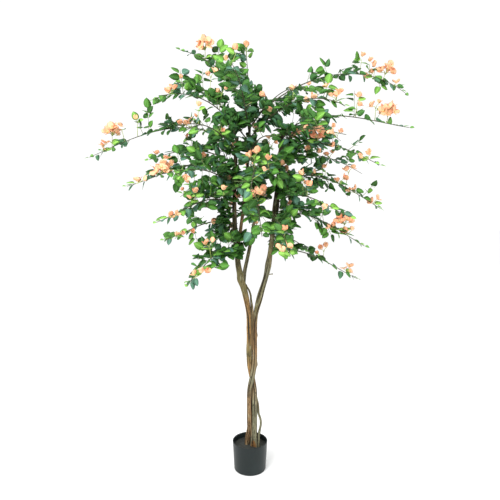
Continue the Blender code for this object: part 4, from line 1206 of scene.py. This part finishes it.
class Growth:
    """All that grows on the sprays, as lists of plain rows that the surfaces are made from.

    rng deals out the chances of the spray or bloom that grows at the moment."""

    def __init__(self, settings):
        self.settings = settings
        self.rng = None
        self.stems = []
        self.twigs = []
        self.bloom_stalks = []
        self.stalks = []
        self.leaves = []
        self.heads = []
        self.clear = np.empty((0, 4))  # x, z, radius and depth of what no leaf may hide

    def leaf(self, spot, heading, facing, size, kind, stalk):
        """A leaf on a short stalk: heading is the way it points, facing the way its top looks."""
        rng = self.rng
        heading = normalised(heading)
        foot = spot + heading * stalk
        facing = facing + rng.normal(0.0, 0.55, 3) * np.array((1.0, 1.0, 0.5))
        middle = foot + 0.5 * size * heading
        if seen_through(middle) or self.hides(middle):
            return
        self.stalks.append((spot, 0.5 * (spot + foot), foot))
        self.leaves.append((foot, heading, facing, size, kind, rng.uniform(0.5, 1.3), rng.uniform(0.3, 1.4)))

    def keep_clear(self, spot, radius):
        """Keeps leaves off the line from the viewpoint to a spot."""
        near = on_front_plane(spot)
        self.clear = np.concatenate((self.clear, ((near[0], near[2], radius, spot[1]),)))

    def hides(self, spot):
        """Whether a leaf at a spot would stand in front of something that is kept clear."""
        near = on_front_plane(spot)
        apart = np.hypot(self.clear[:, 0] - near[0], self.clear[:, 1] - near[2])
        return bool(np.any((apart < self.clear[:, 2]) & (spot[1] < self.clear[:, 3] + 0.005)))

    def leaf_kind(self, place, lightness):
        """Old leaves at a stem's foot, a few blue-green ones with a painted sheen, brighter and younger ones
        towards its tip.
        """
        # lightness raises or lowers the draw; on the front sprays it holds painted light, on the back ones
        # painted shade
        draw = self.rng.uniform(0.0, 1.0) + 0.40 * (place - 0.5) + lightness
        return next(kind for limit, kind in LEAF_LIMITS if draw < limit)

    def twig(self, spot, heading, size, place, lightness, pairs, facing=None):
        """A side twig with leaves in pairs and one at its end."""
        rng = self.rng
        bend = normalised(heading + 0.25 * UP)
        end = spot + 0.5 * size * heading + 0.5 * size * bend
        if seen_through(end):
            return
        handles = (spot, spot + heading * size * 0.35, end - bend * size * 0.35, end)
        path = bezier(handles, np.linspace(0.0, 1.0, TWIG_STEPS))
        self.twigs.append(path)
        side = normalised(np.cross(heading, UP if abs(heading[2]) < 0.8 else rng.normal(0.0, 1.0, 3)))
        if facing is None:
            facing = 0.8 * UP + 0.4 * from_centre(spot) - 0.15 * DEPTHWISE
        full = self.settings.leaves.size
        for k in range(pairs):
            share_up = (k + 1.0) / (pairs + 0.6)
            joint = path[min(TWIG_STEPS - 1, round(share_up * (TWIG_STEPS - 1)))]
            for sign in (1.0, -1.0):
                pointing = side * sign * 0.9 + bend * 0.5 + UP * rng.uniform(-0.3, 0.3)
                kind = self.leaf_kind(place, lightness)
                leaf_size = full * rng.uniform(*TWIG_LEAF_SIZES)
                self.leaf(joint, pointing, facing, leaf_size, kind, TWIG_LEAF_STALK)
        kind = self.leaf_kind(place, lightness + 0.1)
        pointing = bend + UP * rng.uniform(-0.3, 0.1)
        self.leaf(end, pointing, facing, full * rng.uniform(*END_LEAF_SIZES), kind, END_LEAF_STALK)

    def bloom(self, stem_point, tall, lean, heads):
        """A cluster of flower heads on one stalk, over two or three young leaves."""
        rng = self.rng
        blossom = self.settings.blossom
        away = bloom_heading(lean)
        centre = stem_point + away * tall
        size = blossom.bract * (blossom.small if heads < 4 else 1.0)
        self.bloom_stalks.append((stem_point, stem_point + away * tall * 0.5, centre - away * 0.010))
        for k in range(heads):
            if heads == 1:
                offset = np.zeros(3)
            else:
                turn = k * GOLDEN_ANGLE + rng.uniform(-0.3, 0.3)
                height = 1.0 - 1.35 * (k + 0.5) / heads
                level = math.sqrt(max(0.0, 1.0 - height * height))
                offset = np.array((math.cos(turn) * level, math.sin(turn) * level, height))
                offset = offset * cluster_spread(blossom, heads)
                self.bloom_stalks.append((centre - away * 0.011, centre + offset * 0.35, centre + offset))
            to_front = np.array((0.0, -0.020 if heads > 3 else -0.006, 0.012))
            facing = normalised(0.7 * offset + 0.012 * away + to_front)
            facing = normalised(facing + rng.normal(0.0, 0.18 if heads > 3 else 0.40, 3))
            spread_out = rng.uniform(0.60, 1.15) if heads > 2 else rng.uniform(0.85, 1.35)
            head_size = size * rng.uniform(*HEAD_SIZES)
            self.heads.append((centre + offset, facing, head_size, rng.uniform(0.0, 1.0), spread_out))
        first = rng.uniform(0.0, math.tau)
        for k in range(2 + (heads > 2)):
            turn = first + k * math.tau / 3
            level = np.array((math.cos(turn), math.sin(turn), 0.0))
            root = centre - away * min(tall, 0.012 + 0.004 * heads)
            facing = 0.8 * UP + 0.3 * from_centre(root) - 0.7 * DEPTHWISE
            leaf_size = self.settings.leaves.size * rng.uniform(*BLOOM_LEAF_SIZES)
            self.leaf(root, level + 0.35 * away, facing, leaf_size, "young", BLOOM_LEAF_STALK)

    def spray(self, spray, number):
        """The source's rule carried to finer twigs: leaves in turn round an arching stem, side twigs between
        them, twigs at its foot, its own standing twigs, and small pale leaves at its tip."""
        twigs = self.settings.twigs
        rng = self.rng = np.random.default_rng(twigs.seed + number)
        handles = stem_handles(spray)
        path = bezier(handles, np.linspace(0.0, 1.0, STEM_STEPS))
        self.stems.append(path)
        run = np.linalg.norm(np.diff(path, axis=0), axis=1).sum()
        full = self.settings.leaves.size
        # painted light on the sprays at the front and painted shade on those at the back, as lighter or darker
        # leaf kinds
        light = FRONT_PAINTED_LIGHT if spray[3] > 180 else BACK_PAINTED_SHADE
        # Places along the stem draw apart towards its tip: dense at the foot, open beyond the middle
        count = round(run * LEAFY_SHARE / twigs.spacing * LEAFINESS.get(spray[0], 1.0))
        for k in range(count):
            even = (k + rng.uniform(0.2, 0.8)) / count
            place = FIRST_LEAF + LEAFY_SHARE * (CROWDING * even + (1.0 - CROWDING) * even * even)
            spot, ahead = bezier(handles, np.array((place, place + 0.01)))
            tangent = normalised(ahead - spot)
            level = normalised(np.cross(tangent, NEARLY_UP)) * (1.0 if k % 2 else -1.0)
            upper = normalised(np.cross(level, tangent))
            upper = upper * math.copysign(1.0, upper[2])
            inner = place < INNER_SHARE
            if k % 4 == 1 and place < LAST_SIDE_TWIG or inner and k % 2 == 0:
                rise = math.radians(rng.uniform(*SIDE_TWIG_RISES))
                heading = tangent * 0.55 + level * 0.8
                heading = normalised(heading * math.cos(rise) + UP * math.sin(rise))
                size = twigs.twig_length * rng.uniform(*SIDE_TWIG_LENGTHS) * (1.0 - 0.4 * place)
                self.twig(spot, heading, size, place, light, 1 + (size > LONG_SIDE_TWIG))
            tilt = rng.normal(0.1, 0.9 if inner else 0.35)
            hanging = rng.uniform() < HANGING[0 if inner else 1]
            pointing = tangent * 0.6 + level * 0.75 * math.cos(tilt) + upper * 0.75 * math.sin(tilt)
            pointing = pointing - UP * (0.9 if hanging else rng.uniform(-0.05, 0.25))
            size = full * rng.uniform(*STEM_LEAF_SIZES) * (1.0 - TIP_SHRINK * place ** 2)
            # hanging leaves and a share of the others get the blue-green kind, a painted sheen
            kind = "teal" if hanging or rng.uniform() < TEAL_SHARE else self.leaf_kind(place, light - 0.05)
            self.leaf(spot, pointing, 0.9 * upper + 0.35 * from_centre(spot), size, kind, LEAF_STALK)
        for turn in FOOT_TWIGS:
            spot = point_on(handles, rng.uniform(*FOOT_TWIG_PLACES))
            heading = direction(turn + rng.uniform(*FOOT_TWIG_TURNS), rng.uniform(*FOOT_TWIG_RISES))
            size = twigs.twig_length * rng.uniform(*FOOT_TWIG_LENGTHS)
            self.twig(spot, heading, size, 0.1, light, 2)
        for place, size, lean in STANDING_TWIGS.get(spray[0], ()):
            spot = point_on(handles, place)
            heading = upright(lean)
            pairs = 2 + (size > LONG_STANDING_TWIG)
            self.twig(spot, heading, size, place, 0.0, pairs, 0.5 * UP - 0.9 * DEPTHWISE)
        forward = normalised(path[-1] - path[-2])
        for sign in (-1.0, 1.0):
            side = np.cross(forward, UP) * sign
            spot = path[-1] - forward * 0.012 * (1.0 + sign)
            pointing = forward + 0.5 * side + 0.3 * UP
            self.leaf(spot, pointing, UP, full * TIP_LEAF_SIZE, "young", TIP_LEAF_STALK)


def grown_tree(settings):
    """The whole crown. Blooms come before the sprays' leaves, so that these can keep out of their way."""
    growth = Growth(settings)
    blooms = []
    for number, spray in enumerate(SPRAYS):
        rng = np.random.default_rng(settings.twigs.seed + 100 + number)
        handles = stem_handles(spray)
        at_tip, further_back, stalk = USUAL_BLOOMS
        usual = ((*at_tip, int(rng.integers(1, 3))), (rng.uniform(*further_back), stalk, 1))
        if spray[0] in BLOOMS:
            found = [placed_bloom(settings.blossom, handles, *bloom) for bloom in BLOOMS[spray[0]]]
        else:
            found = [(point_on(handles, place), tall, 0.0, heads) for place, tall, heads in usual]
            found = [bloom for bloom in found if not seen_through(bloom[0] + bloom_heading(0.0) * bloom[1])]
        for stem_point, tall, lean, heads in found:
            blooms.append((rng, stem_point, tall, lean, heads))
            middle = stem_point + bloom_heading(lean) * tall + BLOOM_MIDDLE * UP
            growth.keep_clear(middle, BLOOM_CLEARANCE[0] + BLOOM_CLEARANCE[1] * math.sqrt(heads))
    for height in LIMB_IN_SIGHT:
        growth.keep_clear(bough_at("bough_right", height)[0], LIMB_CLEARANCE)
    for rng, *bloom in blooms:
        growth.rng = rng
        growth.bloom(*bloom)
    for number, spray in enumerate(SPRAYS):
        growth.spray(spray, number)
    return growth


# ---- Leaves and blossom ----

def blade_faces(rows, columns):
    """Faces of a closed blade: a top grid, and an underside that shares the top's edge.

    Point numbers: row by row, the top's columns, then the underside's inner columns. The first and the
    last row are each drawn together to one place, where their faces become triangles."""
    inner = columns - 2
    stride = columns + inner
    top, middle, under = [], [], []
    for row in range(rows - 1):
        for column in range(columns - 1):
            a = row * stride + column
            quad = (a, a + 1, a + 1 + stride, a + stride)
            (middle if 0 < column < columns - 2 else top).append(quad)
            left = row * stride + (columns + column - 1 if column > 0 else 0)
            right = row * stride + (columns + column if column < columns - 2 else columns - 1)
            under.append((left, left + stride, right + stride, right))
    return np.array(top), np.array(middle), np.array(under), stride


def blades(roots, along, facing, sizes, width, outline, fold, droop, ruffle, thickness, rows, columns):
    """Many leaves or bracts as arrays. At share u along the rib and v across, a blade's point lies
    half width * outline(u) * v to the side, u forward, and fold |v| outline(u) - droop u^2 +
    ruffle v^2 sin(7u) outline(u) up, all times the blade's size. The underside lies a thickness below the
    inner points."""
    along = normalised(along)
    up = normalised(facing - dot(facing, along) * along)
    side = np.cross(along, up)
    u = rows[None, :, None]
    v = columns[None, None, :]
    shape = outline(rows)[None, :, None]
    across = 0.5 * width * shape * v * np.ones((len(roots), 1, 1))
    rise = 0.5 * width * fold[:, None, None] * np.abs(v) * shape
    rise = rise - droop[:, None, None] * u * u + ruffle * v * v * np.sin(7.0 * u) * shape
    forward = u * np.ones_like(across)
    scale = sizes[:, None, None]
    top = (roots[:, None, None] + (scale * across)[..., None] * side[:, None, None]
           + (scale * forward)[..., None] * along[:, None, None]
           + (scale * rise)[..., None] * up[:, None, None])
    body = thickness * np.minimum(1.0, 4.0 * outline(rows))[None, :, None, None]
    under = top[:, :, 1:-1] - body * up[:, None, None]
    return np.concatenate((top, under), axis=2)


def leaf_outline(u):
    """Ovate with a short point: u^0.5 (1 - u)^0.8, scaled to a greatest value of 1."""
    peak = 0.5 / 1.3
    return u ** 0.5 * (1.0 - u) ** 0.8 / (peak ** 0.5 * (1.0 - peak) ** 0.8)


def bract_outline(u):
    """Broad, with a point: u^0.65 (1 - u)^0.6, scaled to a greatest value of 1."""
    peak = 0.65 / 1.25
    return u ** 0.65 * (1.0 - u) ** 0.6 / (peak ** 0.65 * (1.0 - peak) ** 0.6)


def merged_blades(points, faces_by_slot, stride_points):
    """Joins many blades into one list of points, with the faces of each slot repeated for each blade."""
    copies = len(points)
    faces = [repeated(faces, copies, stride_points) for faces in faces_by_slot]
    slots = np.concatenate([np.full(len(block), slot) for slot, block in enumerate(faces)])
    return points.reshape(-1, 3), faces, slots


def build_leaf_piece(kind, rows, leaves):
    """All leaves of one kind, as one piece with the materials top, rib and underside."""
    tint = getattr(leaves, kind)
    roots, along, facing, sizes, folds, droops = (np.array(column, float) for column in zip(*rows))
    points = blades(roots, along, facing, sizes, leaves.width, leaf_outline, leaves.fold * folds,
                    leaves.droop * droops, LEAF_RUFFLE, leaves.thickness, LEAF_ROWS, LEAF_COLUMNS)
    top, middle, under, stride = blade_faces(len(LEAF_ROWS), len(LEAF_COLUMNS))
    points, faces, slots = merged_blades(points, (top, middle, under), stride * len(LEAF_ROWS))
    materials = [plain_material(f"leaf_{kind}", tint, 0.50, 0.18),
                 plain_material(f"leaf_rib_{kind}", brighter(tint, 1.5, 0.02), 0.55, 0.18),
                 plain_material(f"leaf_under_{kind}", blend(tint, leaves.under), 0.70, 0.15)]
    add_foliage(f"leaves_{kind}", points, faces, materials, slots)


def head_axes(facing):
    """Two axes across the way that each head faces."""
    first = normalised(np.cross(facing, NEARLY_UP))
    return first, np.cross(facing, first)


def build_bracts(heads, settings):
    """Each head has three broad bracts that stand round its middle like a cup, pale at their foot."""
    blossom = settings.blossom
    rng = np.random.default_rng(settings.twigs.seed)
    centres, facing, sizes, deep, closed = (np.array(column, float) for column in zip(*heads))
    first, second = head_axes(facing)
    rows = []
    start = rng.uniform(0.0, math.tau, len(heads))
    for k in range(3):
        turn = start + k * math.tau / 3 + rng.normal(0.0, 0.20, len(heads))
        opening = blossom.opening * closed + rng.normal(0.0, 0.20, len(heads))
        level = spun(turn, first, second)
        along = spun(opening, level, facing)
        up = spun(opening, facing, -level)
        rows.append((centres, along, up, sizes * rng.uniform(0.85, 1.1, len(heads)), deep))
    roots, along, up, sizes, deep = (np.concatenate(column) for column in zip(*rows))
    folds = rng.uniform(0.10, 0.35, len(roots))
    droops = rng.uniform(-0.10, 0.18, len(roots))
    points = blades(roots, along, up, sizes, blossom.width, bract_outline, folds, droops, BRACT_RUFFLE,
                    BRACT_THICKNESS, BRACT_ROWS, BRACT_COLUMNS)
    top, middle, under, stride = blade_faces(len(BRACT_ROWS), len(BRACT_COLUMNS))
    faces = np.concatenate((top, middle, under))
    low = faces[:, 0] < 2 * stride
    by_slot = (faces[~low], faces[low])
    for label, chosen, tint in (("peach", deep < SALMON_FROM, blossom.peach),
                                ("salmon", deep >= SALMON_FROM, blossom.salmon)):
        kept, blocks, slots = merged_blades(points[chosen], by_slot, stride * len(BRACT_ROWS))
        materials = [plain_material(f"bract_{label}", tint, 0.60, 0.25),
                     plain_material(f"bract_foot_{label}", blend(tint, blossom.cream), 0.60, 0.25)]
        add_foliage(f"bracts_{label}", kept, blocks, materials, slots)


def build_florets(heads, settings):
    """Three short flared tubes in the middle of each head."""
    centres, facing, sizes, _, _ = (np.array(column, float) for column in zip(*heads))
    first, second = head_axes(facing)
    paths, radii = [], []
    for k in range(3):
        along = normalised(facing + FLORET_LEAN * spun(k * math.tau / 3, first, second))
        run = np.array(FLORET_RUN)[None, :, None] * sizes[:, None, None]
        paths.append(centres[:, None] + run * along[:, None])
        radii.append(sizes[:, None] * np.array(FLORET_RADII)[None])
    points, faces = tubes(np.concatenate(paths), np.concatenate(radii), 6)
    add_foliage("florets", points, faces, [plain_material("floret", settings.blossom.floret, 0.6)])


# ---- Operators ----

def turned_surface(name, profile, sides, material, lift=None):
    """A profile of (radius, height) rows carried once round +Z, closed at both ends on the axis. lift gives
    what is added to the height at each radius and angle."""
    profile = np.asarray(profile, float)
    angles = np.arange(sides) * math.tau / sides
    radius, height = profile[:, 0][:, None], profile[:, 1][:, None]
    rise = np.zeros((len(profile), sides)) if lift is None else lift(radius, angles[None])
    points = np.stack((radius * np.cos(angles), radius * np.sin(angles), height + rise), -1)
    poles = np.array(((0.0, 0.0, points[0, :, 2].mean()), (0.0, 0.0, points[-1, :, 2].mean())))
    points = np.concatenate((points.reshape(-1, 3), poles))
    return make_piece(name, points, closed_tube_faces(len(profile), sides), [material])


def arc(centre, radius, start, end, count):
    """Points of an arc in the profile's plane, angles in degrees."""
    angles = np.radians(np.linspace(start, end, count))
    return np.stack((centre[0] + radius * np.cos(angles), centre[1] + radius * np.sin(angles)), -1)


class TREE_OT_pot(bpy.types.Operator):
    """Adds the round tapering pot with its thin rounded rim"""
    bl_idname = "tree.pot"
    bl_label = "Pot"

    def execute(self, context):
        pot = context.scene.tree.pot
        slope = (pot.rim_radius - pot.foot_radius) / pot.height
        half = 0.5 * pot.wall
        inside_foot = pot.foot_radius + slope * POT_FLOOR - pot.wall
        heights = np.linspace(POT_FLOOR, pot.height - half, 24)
        inside = np.stack((inside_foot + slope * (heights - POT_FLOOR), heights), -1)
        rim = arc((pot.rim_radius - half, pot.height - half), half, 180.0, 0.0, 9)
        heights = np.linspace(pot.height - half - RIM_DROP, pot.rounding, 40)
        outside = np.stack((pot.foot_radius + slope * heights, heights), -1)
        foot = arc((pot.foot_radius - pot.rounding, pot.rounding), pot.rounding, 0.0, -90.0, 8)[1:]
        start, end = ((POT_CENTRE, POT_FLOOR),), ((POT_CENTRE, 0.0),)
        profile = np.concatenate((start, inside, rim, outside, foot, end))
        second = brighter(pot.plastic, 1.4)
        material = speckled_material("satin_plastic", pot.plastic, second, (0.30, 0.50), 700.0, 9.0, 0.06,
                                     0.0004, 0.25)
        finish_piece(turned_surface("pot_shell", profile[::-1], 160, material), ("pot",))
        return {"FINISHED"}


class TREE_OT_filling(bpy.types.Operator):
    """Adds the dark filling, with the ring pressed in its top and a low mound round the stems"""
    bl_idname = "tree.filling"
    bl_label = "Filling"

    def execute(self, context):
        pot = context.scene.tree.pot
        slope = (pot.rim_radius - pot.foot_radius) / pot.height
        edge = pot.foot_radius + slope * pot.filler_top - pot.wall - FILLER_GAP
        foot = pot.foot_radius + slope * 0.004 - pot.wall - FILLER_GAP
        radii = np.linspace(FILLER_CENTRE, edge, 64)
        top = np.stack((radii, np.full_like(radii, pot.filler_top)), -1)
        profile = np.concatenate((top, ((foot, FILLER_FOOT), (FILLER_CENTRE, FILLER_FOOT))))[::-1]
        on_top = profile[:, 1:] > FILLER_FOOT

        def relief(radius, angles):
            ring = RING_DEPTH[0] * bump(radius, pot.ring_radius, RING_WIDTH[0])
            ring = ring - RING_DEPTH[1] * bump(radius, pot.ring_radius + RING_STEP, RING_WIDTH[1])
            rough = np.sin(11.0 * angles + 160.0 * radius) * np.sin(230.0 * radius - 5.0 * angles)
            mound = MOUND[0] * bump(radius, 0.0, MOUND[1])
            return on_top * np.where(radius < edge - 0.0005, ring + ROUGHNESS_HEIGHT * rough + mound, 0.0)

        second = brighter(pot.filling, 1.9, 0.006)
        material = speckled_material("dark_filling", pot.filling, second, (0.65, 0.95), 420.0, 55.0, 0.5,
                                     0.0010)
        finish_piece(turned_surface("pot_filling", profile, 128, material, relief), ("pot_filler",))
        return {"FINISHED"}


class TREE_OT_stems(bpy.types.Operator):
    """Adds the wood with its bark: the wound stems, the boughs, the thin stem, the vine and the nub"""
    bl_idname = "tree.stems"
    bl_label = "Stems and boughs"

    def execute(self, context):
        wood = context.scene.tree.wood
        left, right, bough, vine = (bark_material(name, wood) for name in BARK_BANDS)
        add_bark("bark_left_stem", stem_with_bough(1, LEFT_TOP, "bough_outer_left", wood), 0, left, wood,
                 "bark", ("stem_left", "bough_outer_left"), knobs=LEFT_KNOBS, seam=beside(1),
                 cut=slanting_cut)
        add_bark("bark_right_stem", stem_with_bough(-1, RIGHT_TOP, "bough_right", wood), 1, right, wood,
                 "bark", ("stem_right", "bough_right"), knobs=RIGHT_KNOBS, seam=beside(-1))
        inside_left = pair_axis(np.array((LEFT_TOP - FORK_OVERLAP,)), 1)[0]
        inside_left = inside_left + np.array((INNER_BOUGH_SHIFT, 0.0, 0.0))
        add_bark("bark_inner_bough", forked_bough("bough_inner_left", inside_left, wood), 2, bough, wood,
                 "bark", ("bough_inner_left",))
        inside_outer = bough_at("bough_outer_left", LEADER_FOOT)[0]
        add_bark("bark_leader", forked_bough("bough_leader", inside_outer, wood), 3, bough, wood,
                 "bark", ("bough_leader",))
        add_bark("bark_thin_stem", thin_stem(wood), 4, vine, wood, "vine_bark", ("stem_thin",),
                 relief=THIN_RELIEF, knobs=THIN_KNOBS)
        add_bark("bark_vine", fork_vine(wood), 5, vine, wood, "vine_bark", ("vine_in_fork",),
                 relief=THIN_RELIEF)
        add_nub(bough)
        return {"FINISHED"}


def add_stalks(name, groups, material):
    """One piece of many tubes, from groups of (paths, radius or radii along them, sides)."""
    parts = []
    for paths, radii, sides in groups:
        paths = np.array(paths)
        parts.append(tubes(paths, np.broadcast_to(radii, paths.shape[:2]), sides))
    points, faces = joined(parts)
    add_foliage(name, points, faces, [material])


class TREE_OT_twigs(bpy.types.Operator):
    """Adds the sprays' stems, their side twigs and the leaf stalks"""
    bl_idname = "tree.twigs"
    bl_label = "Sprays' twigs"

    def execute(self, context):
        settings = context.scene.tree
        twigs = settings.twigs
        growth = grown_tree(settings)
        stem_taper = np.linspace(twigs.stem_radius, twigs.tip_radius, STEM_STEPS)
        wood = plain_material("spray_stem", twigs.wood, 0.75)
        add_stalks("spray_stems", ((growth.stems, stem_taper, 8),), wood)
        twig_taper = twigs.twig_radius * np.linspace(1.15, 0.7, TWIG_STEPS)
        green = plain_material("side_twig", twigs.green, 0.70, 0.30)
        thin = ((growth.twigs, twig_taper, 5), (growth.stalks, twigs.stalk_radius, 4))
        add_stalks("side_twigs", thin, green)
        bloom_taper = twigs.bloom_radius * np.linspace(1.2, 0.7, 3)
        pale = plain_material("bloom_stalk", twigs.bloom, 0.70, 0.30)
        add_stalks("bloom_stalks", ((growth.bloom_stalks, bloom_taper, 6),), pale)
        return {"FINISHED"}


class TREE_OT_leaves(bpy.types.Operator):
    """Adds the leaves, one piece for each of their greens"""
    bl_idname = "tree.leaves"
    bl_label = "Leaves"

    def execute(self, context):
        settings = context.scene.tree
        growth = grown_tree(settings)
        for kind in LEAF_KINDS:
            rows = [row[:4] + row[5:] for row in growth.leaves if row[4] == kind]
            build_leaf_piece(kind, rows, settings.leaves)
        return {"FINISHED"}


class TREE_OT_blossom(bpy.types.Operator):
    """Adds the peach bracts and the florets in their middle"""
    bl_idname = "tree.blossom"
    bl_label = "Blossom"

    def execute(self, context):
        settings = context.scene.tree
        growth = grown_tree(settings)
        build_bracts(growth.heads, settings)
        build_florets(growth.heads, settings)
        return {"FINISHED"}


def add_lamp(name, power, size, place, target):
    lamp = bpy.data.lights.new(name, "AREA")
    lamp.size = size
    lamp.energy = power
    item = bpy.data.objects.new(name, lamp)
    item.location = place
    item.rotation_euler = (Vector(target) - Vector(place)).to_track_quat("-Z", "Y").to_euler()
    bpy.context.scene.collection.objects.link(item)


class TREE_OT_stage(bpy.types.Operator):
    """Adds the pale floor, the soft light and the camera"""
    bl_idname = "tree.stage"
    bl_label = "Stage"

    def execute(self, context):
        stage = context.scene.tree.stage
        half = 0.5 * stage.floor_size
        corners = half * np.array(((-1.0, -1.0, 0.0), (1.0, -1.0, 0.0), (1.0, 1.0, 0.0), (-1.0, 1.0, 0.0)))
        second = brighter(stage.floor, 0.985)
        material = speckled_material("pale_floor", stage.floor, second, (0.75, 0.90), 200.0, 0.5, 0.02,
                                     0.0002)
        floor = make_piece("floor", corners, [np.array(((0, 1, 2, 3),))], [material])
        world = bpy.data.worlds.new("studio")
        world.use_nodes = True
        background = world.node_tree.nodes["Background"]
        background.inputs["Color"].default_value = (1.0, 1.0, 1.0, 1.0)
        background.inputs["Strength"].default_value = stage.daylight
        context.scene.world = world
        add_lamp("key_lamp", stage.key, *KEY_LAMP)
        add_lamp("fill_lamp", stage.fill, *FILL_LAMP)
        camera = bpy.data.cameras.new("camera")
        camera.lens = stage.lens
        item = bpy.data.objects.new("camera", camera)
        item.location = (0.0, -stage.camera_distance, stage.camera_height)
        item.rotation_euler = (math.radians(90.0) - stage.camera_pitch, 0.0, 0.0)
        context.scene.collection.objects.link(item)
        context.scene.camera = item
        context.scene.view_settings.view_transform = "Standard"
        return {"FINISHED"}


class TREE_PT_panel(bpy.types.Panel):
    """Lists the tree's pieces in the 3D view's sidebar"""
    bl_idname = "TREE_PT_panel"
    bl_label = "Bougainvillea tree"
    bl_space_type = "VIEW_3D"
    bl_region_type = "UI"
    bl_category = "Tree"

    def draw(self, context):
        settings = context.scene.tree
        for operator, group in STEPS:
            self.layout.operator(operator.bl_idname)
            box = self.layout.box()
            for label in type(getattr(settings, group)).__annotations__:
                box.prop(getattr(settings, group), label)


STEPS = ((TREE_OT_pot, "pot"), (TREE_OT_filling, "pot"), (TREE_OT_stems, "wood"), (TREE_OT_twigs, "twigs"),
         (TREE_OT_leaves, "leaves"), (TREE_OT_blossom, "blossom"), (TREE_OT_stage, "stage"))
CLASSES = (PotSettings, WoodSettings, TwigSettings, LeafSettings, BlossomSettings, StageSettings,
           TreeSettings, *(operator for operator, _ in STEPS), TREE_PT_panel)


def register():
    for item in CLASSES:
        bpy.utils.register_class(item)
    bpy.types.Scene.tree = PointerProperty(type=TreeSettings)


def unregister():
    del bpy.types.Scene.tree
    for item in reversed(CLASSES):
        bpy.utils.unregister_class(item)


def main():
    register()
    for step in ("pot", "filling", "stems", "twigs", "leaves", "blossom", "stage"):
        getattr(bpy.ops.tree, step)()
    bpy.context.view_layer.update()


if __name__ == "__main__":
    main()
